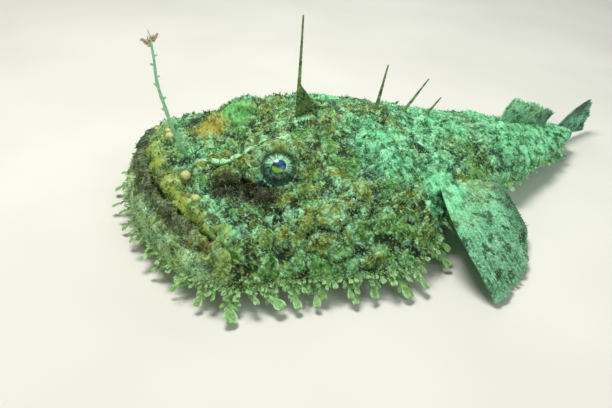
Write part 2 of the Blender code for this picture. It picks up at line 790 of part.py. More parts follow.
def make_body():
    """Lower jaw, head, torso and tail, parted by narrow gaps."""
    half = PARTING / 2.0
    jaw_rows = [mouth_station(share, 0.0) for share in JAW_STATIONS[:-1]]
    jaw_rows.append(mouth_station(1.0, -half))
    head_rows = [head_station(0.0, half)]
    head_rows += [head_station(share, 0.0) for share in HEAD_STATIONS[1:-1]]
    corner, depth, bow, shift = head_station(1.0, 0.0)
    head_rows.append((corner - half, depth, bow, shift))
    torso_rows = straight_stations(NECK, TORSO_END, TORSO_STEPS)
    tail_rows = straight_stations(TORSO_END, TAIL_ROOT, TAIL_STEPS)
    return {
        "lower_jaw": body_piece("lower_jaw", jaw_rows, HEAD_STEPS_ACROSS, True),
        "head": body_piece("head", head_rows, HEAD_STEPS_ACROSS, False),
        "torso": body_piece("torso", torso_rows, BODY_STEPS_ACROSS, False),
        "tail": body_piece("tail", tail_rows, BODY_STEPS_ACROSS, False),
    }


def main():
    """Build every node of the fish."""
    for obj in list(bpy.data.objects):
        bpy.data.objects.remove(obj)

    nodes = make_body()
    sides = ((-1, "left"), (1, "right"))

    rims = []
    sockets = []
    for side, word in sides:
        centre = eye_centre(side)
        axis = eye_axis(side)
        rims.append(ring("rim_" + word, centre + axis * LID_RAISE, axis, LID_RADIUS,
                         LID_THICKNESS))
        sockets.append(ball("socket_" + word, centre, axis, EYE_RADIUS + PARTING * 1.2))
        nodes["eye_" + word] = ball("eye_" + word, centre, axis, EYE_RADIUS)
        x, y = NOSTRIL_PLACE
        ground = float(top_height(x, y))
        stalk = [Vector((x, side * y, ground - 0.006)),
                 Vector((x - 0.001, side * (y + 0.001), ground + NOSTRIL_HEIGHT * 0.6)),
                 Vector((x - 0.002, side * (y + 0.003), ground + NOSTRIL_HEIGHT))]
        widths = [NOSTRIL_RADIUS * 1.25, NOSTRIL_RADIUS * 0.8, NOSTRIL_RADIUS * 1.3]
        rims.append(rod("nostril_" + word, stalk, widths, 9))
    boolean(nodes["head"], "UNION", rims)
    boolean(nodes["head"], "DIFFERENCE", sockets)

    nodes["illicium"] = make_lure()
    nodes["dorsal_spine_2"] = make_second_spine()
    cut_clear(nodes["illicium"], [nodes["head"]])
    cut_clear(nodes["dorsal_spine_2"], [nodes["head"]])
    for name, base, length, lean, web in UPRIGHT_SPINES:
        nodes[name] = spine_with_web(name, base, length, lean, web)
        cut_clear(nodes[name], [nodes["head"], nodes["torso"]])

    for side, word in sides:
        pectoral = make_pectoral_fin(side, "pectoral_fin_" + word)
        cut_clear(pectoral, [nodes["torso"], nodes["head"]])
        nodes["pectoral_fin_" + word] = pectoral
        pelvic = make_pelvic_fin(side, "pelvic_fin_" + word)
        cut_clear(pelvic, [nodes["head"]])
        nodes["pelvic_fin_" + word] = pelvic
    nodes["dorsal_fin"] = make_dorsal_fin()
    cut_clear(nodes["dorsal_fin"], [nodes["torso"], nodes["tail"]])
    nodes["anal_fin"] = make_anal_fin()
    cut_clear(nodes["anal_fin"], [nodes["tail"]])
    nodes["caudal_fin"] = make_caudal_fin()
    cut_clear(nodes["caudal_fin"], [nodes["tail"]])

    fringes = (
        ("lower_jaw", 0.0005, MOUTH_CORNER - FLAP_CLEARANCE, HEAD_FLAP_SPACING, BIG_FLAPS),
        ("head", MOUTH_CORNER + FLAP_CLEARANCE, NECK - NECK_FLAP_GAP, HEAD_FLAP_SPACING, BIG_FLAPS),
        ("torso", TORSO_FLAP_START, TORSO_END - FLAP_CLEARANCE, TAIL_FLAP_SPACING, SMALL_FLAPS),
        ("tail", TORSO_END + FLAP_CLEARANCE, TAIL_ROOT - TAIL_FLAP_GAP, TAIL_FLAP_SPACING,
         SMALL_FLAPS),
    )
    for number, (name, start, end, spacing, big) in enumerate(fringes):
        boolean(nodes[name], "UNION", fringe(start, end, spacing, big, FLAP_SEED + number))

    finishes = {
        "lower_jaw": ("wet olive-brown skin", "5e6a48", 0.45),
        "head": ("wet olive-brown skin", "66734c", 0.45),
        "torso": ("wet mint-grey skin", "7f9a78", 0.45),
        "tail": ("wet mint-grey skin", "6f8a6c", 0.45),
        "eye": ("clear cornea over a pale iris", "b9c29a", 0.10),
        "fin": ("thin wet fin skin", "5d7a66", 0.50),
        "spine": ("dark wet spine skin", "4a5540", 0.50),
    }
    for name, obj in nodes.items():
        kind = name.split("_")[0]
        if name in finishes:
            label, colour, roughness = finishes[name]
        elif kind == "eye":
            label, colour, roughness = finishes["eye"]
        elif "fin" in name:
            label, colour, roughness = finishes["fin"]
        else:
            label, colour, roughness = finishes["spine"]
        obj.data.materials.clear()
        obj.data.materials.append(make_material(name + " " + label, colour, roughness))
        obj.data.shade_smooth()
        obj.data.set_sharp_from_angle(angle=math.radians(40.0))
        obj.location = (-MIDDLE[0], -MIDDLE[1], 0.0)


main()
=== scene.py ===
import json
import math

import bmesh
import bpy
import numpy as np
from mathutils import Matrix, Vector

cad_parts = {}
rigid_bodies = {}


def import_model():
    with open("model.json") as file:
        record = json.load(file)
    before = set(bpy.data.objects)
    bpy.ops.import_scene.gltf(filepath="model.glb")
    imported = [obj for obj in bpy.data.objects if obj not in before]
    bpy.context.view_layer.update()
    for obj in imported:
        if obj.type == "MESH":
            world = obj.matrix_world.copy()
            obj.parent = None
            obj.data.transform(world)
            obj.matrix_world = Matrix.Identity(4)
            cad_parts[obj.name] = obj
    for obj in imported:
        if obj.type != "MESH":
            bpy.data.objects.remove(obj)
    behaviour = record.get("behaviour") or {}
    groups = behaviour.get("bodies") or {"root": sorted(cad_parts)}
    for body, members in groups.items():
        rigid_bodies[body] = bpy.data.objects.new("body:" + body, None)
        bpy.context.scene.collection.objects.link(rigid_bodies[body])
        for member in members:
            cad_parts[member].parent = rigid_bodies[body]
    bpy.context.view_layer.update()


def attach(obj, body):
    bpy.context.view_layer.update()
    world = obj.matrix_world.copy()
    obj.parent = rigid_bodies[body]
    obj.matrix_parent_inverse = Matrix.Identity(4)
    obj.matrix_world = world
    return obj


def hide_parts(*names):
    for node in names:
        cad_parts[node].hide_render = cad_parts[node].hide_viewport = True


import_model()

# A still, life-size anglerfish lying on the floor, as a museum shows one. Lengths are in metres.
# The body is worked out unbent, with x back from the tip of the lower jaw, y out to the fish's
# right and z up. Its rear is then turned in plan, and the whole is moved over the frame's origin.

# Driving dimensions of the body, as in the solids
TOTAL_LENGTH = 0.90
FRONT_DEPTH = 0.115
MOUTH_CORNER = 0.131
MOUTH_DEPTH = 0.101
MOUTH_BOW = 0.76
NECK = 0.385
TAIL_ROOT = 0.768
BEND_START = 0.40
BEND_ANGLE = math.radians(27.3)
MIDDLE = np.array((0.4276, -0.0004, 0.0))
HALF_WIDTHS = ((0.115, 0.208), (0.135, 0.208), (0.20, 0.217), (0.25, 0.223), (0.30, 0.222),
               (0.345, 0.203), (0.385, 0.160), (0.42, 0.134), (0.47, 0.116), (0.55, 0.092),
               (0.65, 0.062), (0.74, 0.034), (0.768, 0.026))
RIM_HEIGHTS = ((0.0, 0.027), (0.15, 0.028), (0.30, 0.030), (0.385, 0.046), (0.45, 0.052),
               (0.55, 0.048), (0.65, 0.042), (0.768, 0.036))
CROWN_HEIGHTS = ((0.0, 0.110), (0.04, 0.104), (0.08, 0.098), (0.12, 0.105), (0.16, 0.116),
                 (0.20, 0.130), (0.25, 0.141), (0.31, 0.139), (0.36, 0.134), (0.42, 0.124),
                 (0.47, 0.114), (0.55, 0.098), (0.65, 0.072), (0.74, 0.051), (0.768, 0.047))
CROWN_SLOPES = ((0.05, 0.50), (0.12, 0.58), (0.22, 0.86), (0.34, 0.86), (0.45, 0.66),
                (0.70, 0.55))
BELLY_HEIGHTS = ((0.52, 0.0), (0.66, 0.017), (0.768, 0.021))
FLAT_SHARE = 0.55

# Relief of the head: a lump is (x, y, height, spread along x, spread along y)
HEAD_LUMPS = ((0.166, 0.070, 0.021, 0.038, 0.034), (0.165, 0.0, -0.007, 0.055, 0.026),
              (0.090, 0.046, 0.005, 0.022, 0.018), (0.255, 0.085, 0.003, 0.050, 0.022),
              (0.310, 0.160, 0.004, 0.040, 0.030), (0.215, 0.165, 0.005, 0.032, 0.022),
              (0.120, 0.120, 0.005, 0.030, 0.026))
LIP_HEIGHT = 0.006
LIP_OFFSET = 0.010
LIP_SPREAD = 0.008
PELVIC_HOLLOW = (0.262, 0.105, 0.010, 0.050, 0.055)

# Eyeballs
EYE_PLACE = (0.176, 0.090)
EYE_AXIS = np.array((-0.22, 0.72, 0.66)) / math.sqrt(0.22 ** 2 + 0.72 ** 2 + 0.66 ** 2)
EYE_RADIUS = 0.0225
EYE_SINK = 0.010
EYE_DEPTH = 0.985
DOME_RISE = 0.045
DOME_REACH = 0.55

# Finer relief that only the hide has, its lumps given in the same way
SLIT_DEPTH = 0.010
SLIT_SPREAD = 0.0024
LIP_ROLL_DEPTH = 0.004
LIP_ROLL_SPREAD = 0.007
HIDE_HOLLOWS = ((0.122, 0.098, -0.010, 0.022, 0.020), (0.345, 0.118, -0.006, 0.014, 0.040),
                (0.060, 0.085, -0.003, 0.012, 0.030), (0.215, 0.105, -0.004, 0.016, 0.014))
FAR_MOUND = (0.143, 0.048, 0.014, 0.030, 0.026)
SWELL_SIZE = 0.055
SWELL_RISE = 0.0036
RIDGE_SIZE = 0.032
RIDGE_RISE = 0.0026
RIDGE_LEVEL = 0.6
WRINKLE_SIZE = 0.020
WRINKLE_RISE = 0.0010

# How much of the pads' relief shows at stations from the front to the tail
PAD_STATIONS = (0.0, 0.03, 0.06, 0.26, 0.36, 0.46, 0.77)
PAD_SHARES = (0.72, 0.74, 1.0, 1.0, 0.70, 0.55, 0.30)

# Eyelids, with distances measured from the eye's axis
LID_OPENING = 0.0211
LID_HEIGHT = 0.0026
LID_FULL_REACH = 0.026
LID_REACH = 0.040
LID_TUCK = 0.0030
LID_EDGE = 0.0016
LID_FLAT = 0.004
LID_SLOPE = 0.55
LID_ROLL_RISE = 0.0014
LID_ROLL_WIDTH = 0.0065
LID_LOBE_SIZE = 0.018
LID_LOBE_REACH = 0.0008
EYE_CLEARANCE = 0.0245

# How finely the hide and the eyes are divided
JAW_ROWS = 20
HEAD_ROWS = 158
BACK_ROWS = 128
CAP_ROWS = 7
COLUMNS = 216
UNDER_STEP = 3
EYE_ROWS = 36
EYE_SIDES = 56

# The tail's closing cap stops a little short of a quarter turn, so its last row is not a point
CAP_DEPTH = 0.007
CAP_SHORTFALL = 0.4


def smooth_profile(points, x):
    """Read a smooth curve that passes through a few points and never overshoots them."""
    stations = np.array([point[0] for point in points])
    values = np.array([point[1] for point in points])
    rises = np.diff(values) / np.diff(stations)
    slopes = np.zeros(len(points))
    for index in range(1, len(points) - 1):
        before = rises[index - 1]
        after = rises[index]
        if before * after > 0.0:
            slopes[index] = 2.0 * before * after / (before + after)
    clamped = np.clip(x, stations[0], stations[-1])
    low = np.clip(np.searchsorted(stations, clamped) - 1, 0, len(points) - 2)
    span = stations[low + 1] - stations[low]
    part = (clamped - stations[low]) / span
    square = part * part
    cube = square * part
    return (values[low] * (2.0 * cube - 3.0 * square + 1.0)
            + values[low + 1] * (3.0 * square - 2.0 * cube)
            + slopes[low] * span * (cube - 2.0 * square + part)
            + slopes[low + 1] * span * (cube - square))


def eased(share):
    """A share from 0 to 1 that starts and ends softly."""
    return share * share * (3.0 - 2.0 * share)


def between(low, high, share):
    """Values between two ends."""
    return low + (high - low) * share


def half_width(x):
    """Half the width of the body behind its rounded front."""
    return smooth_profile(HALF_WIDTHS, x)


def outline_measure(x, y):
    """0 on the midline behind the front, 1 on the outline seen from above."""
    front = np.maximum(0.0, (FRONT_DEPTH - x) / FRONT_DEPTH)
    across = y / half_width(np.maximum(x, FRONT_DEPTH))
    return front * front + across * across


def mouth_distance(x, y):
    """Distance in plan behind the mouth line, negative on the lower jaw."""
    reach = half_width(MOUTH_CORNER)
    inner = np.clip(1.0 - (y / reach) ** 2, 0.0004, 1.0)
    line = MOUTH_CORNER - MOUTH_DEPTH * inner ** MOUTH_BOW
    slope = 2.0 * MOUTH_DEPTH * MOUTH_BOW * inner ** (MOUTH_BOW - 1.0) * y / reach ** 2
    return (x - line) / np.sqrt(1.0 + slope * slope)


def lump(x, y, form):
    """A smooth rise or hollow of the skin, the same on both sides."""
    along = (x - form[0]) / form[3]
    across = (np.abs(y) - form[1]) / form[4]
    return form[2] * np.exp(-along * along - across * across)


def top_height(x, y):
    """Height of the upper surface over a point in plan."""
    rim = smooth_profile(RIM_HEIGHTS, x)
    crown = smooth_profile(CROWN_HEIGHTS, x)
    inside = np.clip(1.0 - outline_measure(x, y), 0.0, 1.0)
    slope = smooth_profile(CROWN_SLOPES, x)
    relief = sum(lump(x, y, form) for form in HEAD_LUMPS)
    behind = mouth_distance(x, y)
    relief = relief + LIP_HEIGHT * np.exp(-((np.abs(behind) - LIP_OFFSET) / LIP_SPREAD) ** 2)
    fade = np.clip(inside * 4.0, 0.0, 1.0)
    return rim + (crown - rim) * inside ** slope + relief * fade


def under_height(x, y):
    """Height of the underside: a flat belly whose edge turns up to the rim."""
    rim = smooth_profile(RIM_HEIGHTS, x)
    belly = smooth_profile(BELLY_HEIGHTS, x)
    outward = np.sqrt(np.clip(outline_measure(x, y), 0.0, 1.0))
    turn = np.clip((outward - FLAT_SHARE) / (1.0 - FLAT_SHARE), 0.0, 1.0)
    rise = 1.0 - np.sqrt(1.0 - turn * turn)
    along = (x - PELVIC_HOLLOW[0]) / PELVIC_HOLLOW[3]
    across = (np.abs(y) - PELVIC_HOLLOW[1]) / PELVIC_HOLLOW[4]
    hollow = PELVIC_HOLLOW[2] * np.clip(2.2 - 2.2 * (along ** 2 + across ** 2), 0.0, 1.0)
    return np.maximum(belly + (rim - belly) * rise, hollow)


def bent(points):
    """Turn the rear in plan towards the fish's right, and move all over the origin."""
    points = np.asarray(points, dtype=float)
    x = points[..., 0]
    y = points[..., 1]
    radius = (TOTAL_LENGTH - BEND_START) / BEND_ANGLE
    turn = np.maximum(x - BEND_START, 0.0) / radius
    level = np.minimum(x, BEND_START)
    new_x = level + radius * np.sin(turn) - y * np.sin(turn)
    new_y = radius * (1.0 - np.cos(turn)) + y * np.cos(turn)
    return np.stack((new_x, new_y, points[..., 2]), axis=-1) - MIDDLE


def turned_with(station, points):
    """Turn points rigidly with the body at one station, as a limb turns with what carries it."""
    points = np.asarray(points, dtype=float)
    start = bent((station, 0.0, 0.0))
    sideways = bent((station, 1.0, 0.0)) - start
    backwards = np.array((sideways[1], -sideways[0], 0.0))
    offset = points - np.array((station, 0.0, 0.0))
    return (start + backwards * offset[..., 0:1] + sideways * offset[..., 1:2]
            + np.array((0.0, 0.0, 1.0)) * offset[..., 2:3])


def chance_at(cells, seed):
    """A fixed chance value from 0 to 1 for each whole-number place."""
    mixed = (cells[..., 0] * 374761393 + cells[..., 1] * 668265263
             + cells[..., 2] * 1440662683 + seed * 1274126177) & 0xFFFFFFFF
    mixed = ((mixed ^ (mixed >> 13)) * 1103515245) & 0xFFFFFFFF
    return ((mixed ^ (mixed >> 16)) & 0xFFFF) / 65535.0


def relief_noise(points, size, seed, layers=1):
    """Smooth uneven relief from about -1 to 1 whose hills are one size across."""
    total = 0.0
    strength = 1.0
    for layer in range(layers):
        scaled = points / (size * 0.5 ** layer)
        base = np.floor(scaled).astype(np.int64)
        part = eased(scaled - base)
        value = 0.0
        for corner in range(8):
            offset = np.array([(corner >> axis) & 1 for axis in range(3)])
            weight = np.prod(np.where(offset == 1, part, 1.0 - part), axis=-1)
            value = value + weight * chance_at(base + offset, seed + 17 * layer)
        total = total + (value * 2.0 - 1.0) * strength
        strength *= 0.5
    return total


def spaced(start, end, count, density):
    """Places from start to end that lie closer together where the density is higher."""
    fine = np.linspace(start, end, 2001)
    weight = density(fine)
    summed = np.concatenate(((0.0,), np.cumsum((weight[1:] + weight[:-1]) / 2.0)))
    return np.interp(np.linspace(0.0, summed[-1], count), summed, fine)


def unit(vectors):
    """Vectors of length one."""
    return vectors / np.maximum(np.linalg.norm(vectors, axis=-1, keepdims=True), 1e-9)


def grid_normals(points):
    """Directions square to a grid of points."""
    return unit(np.cross(np.gradient(points, axis=0), np.gradient(points, axis=1)))


def upward_normals(points):
    """Directions square to a grid of points, on its upper side."""
    normals = grid_normals(points)
    return normals * np.sign(normals[..., 2:3] + 1e-9)


def grid_quads(at):
    """Four-sided faces between neighbours in a grid of point numbers."""
    corners = np.stack((at[:-1, :-1], at[:-1, 1:], at[1:, 1:], at[1:, :-1]), axis=-1)
    return corners.reshape(-1, 4)


def closed_mesh(name, vertices, faces, values):
    """A smooth closed mesh whose faces point outwards, with named values at its points."""
    mesh = bpy.data.meshes.new(name)
    mesh.from_pydata(np.asarray(vertices).tolist(), [], faces)
    mesh.validate()
    work = bmesh.new()
    work.from_mesh(mesh)
    bmesh.ops.recalc_face_normals(work, faces=work.faces)
    if work.calc_volume(signed=True) < 0.0:
        bmesh.ops.reverse_faces(work, faces=work.faces)
    work.to_mesh(mesh)
    work.free()
    give_values(mesh, values)
    mesh.shade_smooth()
    return mesh


def give_values(mesh, values):
    """Store named numbers or vectors at the points of a mesh."""
    for key, numbers in values.items():
        numbers = np.asarray(numbers)
        if numbers.ndim == 2:
            layer = mesh.attributes.new(key, "FLOAT_VECTOR", "POINT")
            layer.data.foreach_set("vector", numbers.astype(np.float32).ravel())
        elif numbers.dtype.kind == "i":
            layer = mesh.attributes.new(key, "INT", "POINT")
            layer.data.foreach_set("value", numbers.astype(np.int32))
        else:
            layer = mesh.attributes.new(key, "FLOAT", "POINT")
            layer.data.foreach_set("value", numbers.astype(np.float32))


def shown(mesh, nodes=()):
    """Show a mesh as a piece that rides on the fish and stands for CAD nodes."""
    piece = bpy.data.objects.new(mesh.name, mesh)
    bpy.context.scene.collection.objects.link(piece)
    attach(piece, "root")
    if nodes:
        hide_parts(*nodes)


def finished(name, vertices, faces, finish, nodes, values):
    """Show a smooth closed mesh in one finish."""
    mesh = closed_mesh(name, vertices, faces, values)
    mesh.materials.append(finish)
    shown(mesh, nodes)


def through(name, mesh, tree, values):
    """Run a mesh through a Geometry Nodes tree and return the plain mesh that comes out."""
    base = bpy.data.objects.new(name + "_base", mesh)
    bpy.context.scene.collection.objects.link(base)
    modifier = base.modifiers.new("Nodes", "NODES")
    modifier.node_group = tree
    for item in tree.interface.items_tree:
        if item.item_type == "SOCKET" and item.in_out == "INPUT" and item.name in values:
            modifier[item.identifier] = values[item.name]
    bpy.context.view_layer.update()
    graph = bpy.context.evaluated_depsgraph_get()
    result = bpy.data.meshes.new_from_object(base.evaluated_get(graph))
    base.modifiers.clear()
    bpy.data.objects.remove(base)
    result.name = name
    return result


def new_tree(name, sockets):
    """An empty Geometry Nodes tree with named inputs and one geometry output."""
    tree = bpy.data.node_groups.new(name, "GeometryNodeTree")
    for label, kind in sockets:
        tree.interface.new_socket(name=label, in_out="INPUT", socket_type="NodeSocket" + kind)
    tree.interface.new_socket(name="Geometry", in_out="OUTPUT", socket_type="NodeSocketGeometry")
    return tree, tree.nodes.new("NodeGroupInput").outputs


# Colours of the fish, as they look in soft light
OLIVE_DARK = "325a1c"
OLIVE = "6c8c38"
OLIVE_GREEN = "5aa656"
OLIVE_YELLOW = "929c3a"
MINT_DARK = "4ca46e"
MINT = "74dc9c"
MINT_PALE = "98fac0"
MINT_SHADE = "2f6e4c"
LACE = "b6ffcc"
GRIT = "bad674"
# Near black: painted shade in the gaps between pads, and dark between grains and in soft mottles
GAP_SHADE_AND_MOTTLE = "10260a"
SPOT_DARK = "161c0a"
JAW_DARK = "566828"
JAW_PALE = "c2de78"
JAW_MINT = "84d896"
JAW_OLIVE = "94902e"
JAW_CREAM = "dcf6ac"
JAW_BROWN = "6e5c34"
JAW_SPOT = "1e2c14"
# Deep brown painted shade in the hollows before and below the eyes
HOLLOW_SHADE = "1e190a"
MOUND_YELLOW = "c2b44a"
MOUND_GREEN = "84e084"
# Dark of the mouth flesh, partly its own colour and partly painted shade in the slit
MOUTH_DARK_AND_SHADE = "20281a"
MOUTH_FLESH = "8a7660"
MOUTH_GREEN = "6a9a68"
LIP_YELLOW = "a0b44c"
LID_OLIVE = "6f8c3a"
LID_DARK = "10332a"
LID_PALE = "a4dcb4"
BELLY = "c9cdb4"
FLAP_RIM = "cdf7c8"
FIN_SHADE = "2a4a30"
FIN_SPOT = "1d3a24"
FIN_EDGE = "27483a"

# Colours of the eyes: the upper and lower iris, the pupil with its painted reflections, and the
# ring at the lids
IRIS_MINT = "6cc092"
IRIS_PALE = "c2f6d2"
IRIS_TEAL = "12403a"
IRIS_TEAL_PALE = "6cae92"
IRIS_SPOKE = "1c2c18"
IRIS_SHADE = "2b4a2c"
# Painted reflections in the pupil: lime below and blue above
PUPIL_LIME_REFLECTION = "84c034"
PUPIL_DARK = "0c2c46"
PUPIL_BLUE_REFLECTION = "2464a4"
PUPIL_EDGE = "0a1c24"
RING_TEAL = "245a4c"
RING_OLIVE = "70884c"
RING_PALE = "a0d4ac"
PUPIL_TILT = math.radians(38.0)

# Colours of the floor
FLOOR_GREY = "e4e2dc"
FLOOR_WHITE = "eeece6"

# Noise of the markings: name, size in metres, layers and roughness. Speckle, dust and the skin's
# grains below are finer in life, and are drawn this coarse so that they still show.
GRAINS = (("broad", 0.060, 3.0, 0.55), ("patches", 0.024, 4.0, 0.62),
          ("blots", 0.020, 5.0, 0.62), ("drift", 0.009, 4.0, 0.70), ("shade", 0.013, 2.0, 0.50),
          ("speckle", 0.0032, 3.0, 0.70), ("dust", 0.0017, 2.0, 0.60))
GRAIN_SIZE = 0.0034
FLAP_MOTTLE_SIZE = 0.004

# Clouds, spots and speckle of the fins
FIN_GRAIN_SIZES = (0.024, 0.016, 0.0030)

# Skin pads and warts, as real sizes in metres
PAD_SIZE = 0.030
RAGGED_SIZE = 0.010
RAGGED_REACH = 0.013
PAD_RISE = 0.0068
GAP_VARIATION = 0.70
NOISE_MIDDLE = 0.49
KNOLL_SIZE = 0.012
KNOLL_RISE = 0.0030
BEAD_SIZE = 0.0050
BEAD_RISE = 0.0016

# Where mint shows, after the bend: (centre, spread, share)
PALE_PATCHES = (((-0.110, -0.085, 0.10), (0.090, 0.080, 0.10), 0.95),
                ((-0.110, 0.085, 0.10), (0.090, 0.080, 0.10), 0.95),
                ((-0.035, -0.130, 0.06), (0.050, 0.090, 0.09), 1.4),
                ((-0.035, 0.130, 0.06), (0.050, 0.090, 0.09), 1.4),
                ((0.020, 0.0, 0.11), (0.130, 0.10, 0.08), 0.9),
                ((0.230, 0.02, 0.06), (0.280, 0.22, 0.20), 1.2),
                ((-0.350, -0.115, 0.07), (0.080, 0.090, 0.09), 0.55),
                ((-0.350, 0.115, 0.07), (0.080, 0.090, 0.09), 0.55))

# Colours of the far mound, after the bend: (centre, spread, colour, share)
MOUND_PATCHES = (((-0.303, 0.046, 0.118), (0.034, 0.036, 0.05), MOUND_YELLOW, 0.80),
                 ((-0.268, 0.050, 0.135), (0.032, 0.034, 0.05), MOUND_GREEN, 0.72))

# The warm jaw, and the deep brown painted shade in the hollow before and below each eye, after the
# bend, on both sides
JAW_MIDDLE = (-0.405, 0.10, 0.03)
JAW_SPREAD = (0.095, 0.20, 0.10)
EYE_HOLLOW_SHADES = ((-0.318, 0.088, 0.098), (-0.300, 0.104, 0.096), (-0.281, 0.119, 0.096))
HOLLOW_SHADE_SPREAD = (0.030, 0.027, 0.044)


# Finishes

def linear(hex_colour):
    """Turn a colour written as hexadecimal red, green and blue into linear values."""
    channels = []
    for start in (0, 2, 4):
        value = int(hex_colour[start:start + 2], 16) / 255.0
        channels.append(value / 12.92 if value <= 0.04045 else ((value + 0.055) / 1.055) ** 2.4)
    return (*channels, 1.0)


def feed(tree, node, inputs):
    """Give a node's inputs their values, or link the sockets that feed them."""
    for key, value in inputs.items():
        if isinstance(value, bpy.types.NodeSocket):
            tree.links.new(value, node.inputs[key])
        else:
            node.inputs[key].default_value = value


def add(tree, kind, inputs=None, output=0, **settings):
    """Add one node with its settings and links, and return one of its output sockets."""
    node = tree.nodes.new(kind)
    for key, value in settings.items():
        setattr(node, key, value)
    feed(tree, node, inputs or {})
    return node.outputs[output] if node.outputs else None


def tinted(tree, base, colour, strength, *limits):
    """Lay a colour over a base where each value in limits rises from its low to its high."""
    share = strength
    for value, low, high in limits:
        rise = add(tree, "ShaderNodeMapRange", {0: value, 1: low, 2: high},
                   interpolation_type="SMOOTHSTEP")
        share = add(tree, "ShaderNodeMath", {0: rise, 1: share}, operation="MULTIPLY")
    if isinstance(colour, str):
        colour = linear(colour)
    return add(tree, "ShaderNodeMix", {0: share, 6: base, 7: colour}, 2, data_type="RGBA")


def nearness(tree, place, centre, spread):
    """1 at a place on the fish, falling to 0 at its spread."""
    shifted = add(tree, "ShaderNodeVectorMath", {0: place, 1: centre}, operation="SUBTRACT")
    scaled = add(tree, "ShaderNodeVectorMath", {0: shifted, 1: spread}, operation="DIVIDE")
    length = add(tree, "ShaderNodeVectorMath", {0: scaled}, "Value", operation="LENGTH")
    return add(tree, "ShaderNodeMapRange", {0: length, 1: 1.0, 2: 0.3},
               interpolation_type="SMOOTHSTEP")


def pad_fields(tree, place):
    """Pads of skin with ragged rims, in a shader or a geometry tree.

    Gives sockets for the distance from a pad's ragged edge in pad sizes, which is negative in
    the wider gaps, and for a chance value of each pad.
    """
    ragged = add(tree, "ShaderNodeTexNoise", {"Vector": place, "Scale": 1.0 / RAGGED_SIZE,
                                              "Detail": 3.0, "Roughness": 0.65}, "Color")
    centred = add(tree, "ShaderNodeVectorMath", {0: ragged, 1: (0.5, 0.5, 0.5)},
                  operation="SUBTRACT")
    push = add(tree, "ShaderNodeVectorMath", {0: centred, 3: RAGGED_REACH}, operation="SCALE")
    warped = add(tree, "ShaderNodeVectorMath", {0: place, 1: push}, operation="ADD")
    edge = add(tree, "ShaderNodeTexVoronoi", {"Vector": warped, "Scale": 1.0 / PAD_SIZE},
               "Distance", feature="DISTANCE_TO_EDGE")
    sway = add(tree, "ShaderNodeTexNoise", {"Vector": warped, "Scale": 1.0 / PAD_SIZE,
                                            "Detail": 2.0})
    edge = add(tree, "ShaderNodeMath", {0: sway, 1: -GAP_VARIATION, 2: edge},
               operation="MULTIPLY_ADD")
    edge = add(tree, "ShaderNodeMath", {0: edge, 1: GAP_VARIATION * NOISE_MIDDLE},
               operation="ADD")
    own = add(tree, "ShaderNodeTexVoronoi", {"Vector": warped, "Scale": 1.0 / PAD_SIZE},
              "Color", feature="F1")
    return edge, add(tree, "ShaderNodeSeparateXYZ", {0: own})


def pad_height(tree, place, edge, chance):
    """How high pads, knolls and beads of skin stand over the smooth hide."""
    lifted = add(tree, "ShaderNodeMapRange", {0: chance, 1: 0.0, 2: 1.0, 3: 0.35, 4: 1.0})
    height = PAD_RISE
    for value, low, high in ((edge, 0.0, 0.200), (lifted, 0.0, 1.0)):
        rise = add(tree, "ShaderNodeMapRange", {0: value, 1: low, 2: high},
                   interpolation_type="SMOOTHERSTEP")
        height = add(tree, "ShaderNodeMath", {0: rise, 1: height}, operation="MULTIPLY")
    for size, low, high, reach in ((KNOLL_SIZE, 0.42, 0.62, KNOLL_RISE),
                                   (BEAD_SIZE, 0.44, 0.64, BEAD_RISE)):
        noise = add(tree, "ShaderNodeTexNoise", {"Vector": place, "Scale": 1.0 / size})
        rise = add(tree, "ShaderNodeMapRange", {0: noise, 1: low, 2: high},
                   interpolation_type="SMOOTHSTEP")
        height = add(tree, "ShaderNodeMath", {0: rise, 1: reach, 2: height},
                     operation="MULTIPLY_ADD")
    return height


def jaw_colour(tree, grains):
    """The paler and warmer mottling of the lower jaw."""
    speckle = grains["speckle"]
    shade = grains["shade"]
    warm = tinted(tree, linear(JAW_DARK), JAW_PALE, 1.0, (speckle, 0.40, 0.54))
    warm = tinted(tree, warm, JAW_MINT, 0.85, (shade, 0.47, 0.38), (speckle, 0.34, 0.46))
    warm = tinted(tree, warm, JAW_OLIVE, 0.80, (grains["broad"], 0.44, 0.54),
                  (speckle, 0.34, 0.46))
    warm = tinted(tree, warm, JAW_CREAM, 0.90, (shade, 0.51, 0.58), (speckle, 0.36, 0.46))
    warm = tinted(tree, warm, JAW_BROWN, 0.80, (grains["patches"], 0.52, 0.43),
                  (speckle, 0.62, 0.50))
    return tinted(tree, warm, JAW_SPOT, 0.80, (grains["blots"], 0.54, 0.60))


def with_mouth(tree, colour, place, mouth, grains):
    """Lay a pale jaw rim, dark flesh that is partly painted shade of the slit, and a yellow-green
    upper lip along the mouth line.
    """
    speckle = grains["speckle"]

    # Distances from the mouth line wander with the drifting noise
    wander = add(tree, "ShaderNodeMath", {0: grains["drift"], 1: 0.030, 2: mouth},
                 operation="MULTIPLY_ADD")
    across = add(tree, "ShaderNodeSeparateXYZ", {0: place}, 1)
    across = add(tree, "ShaderNodeMath", {0: across}, operation="ABSOLUTE")
    # The flesh by the slit is dark, partly its own colour and partly painted shade
    flesh = tinted(tree, linear(MOUTH_DARK_AND_SHADE), MOUTH_FLESH, 0.9, (speckle, 0.48, 0.62),
                   (grains["patches"], 0.46, 0.60))
    flesh = tinted(tree, flesh, MOUTH_GREEN, 0.8, (grains["drift"], 0.47, 0.58),
                   (grains["dust"], 0.42, 0.56))
    colour = tinted(tree, colour, LACE, 0.40, (wander, -0.026, -0.016),
                    (wander, -0.002, -0.010), (speckle, 0.38, 0.50),
                    (grains["broad"], 0.40, 0.54))
    colour = tinted(tree, colour, flesh, 0.88, (wander, -0.009, 0.001),
                    (wander, 0.0195, 0.0150), (across, 0.165, 0.125))
    return tinted(tree, colour, LIP_YELLOW, 0.74, (wander, 0.0150, 0.0190),
                  (wander, 0.034, 0.026), (across, 0.185, 0.150),
                  (grains["patches"], 0.36, 0.48))


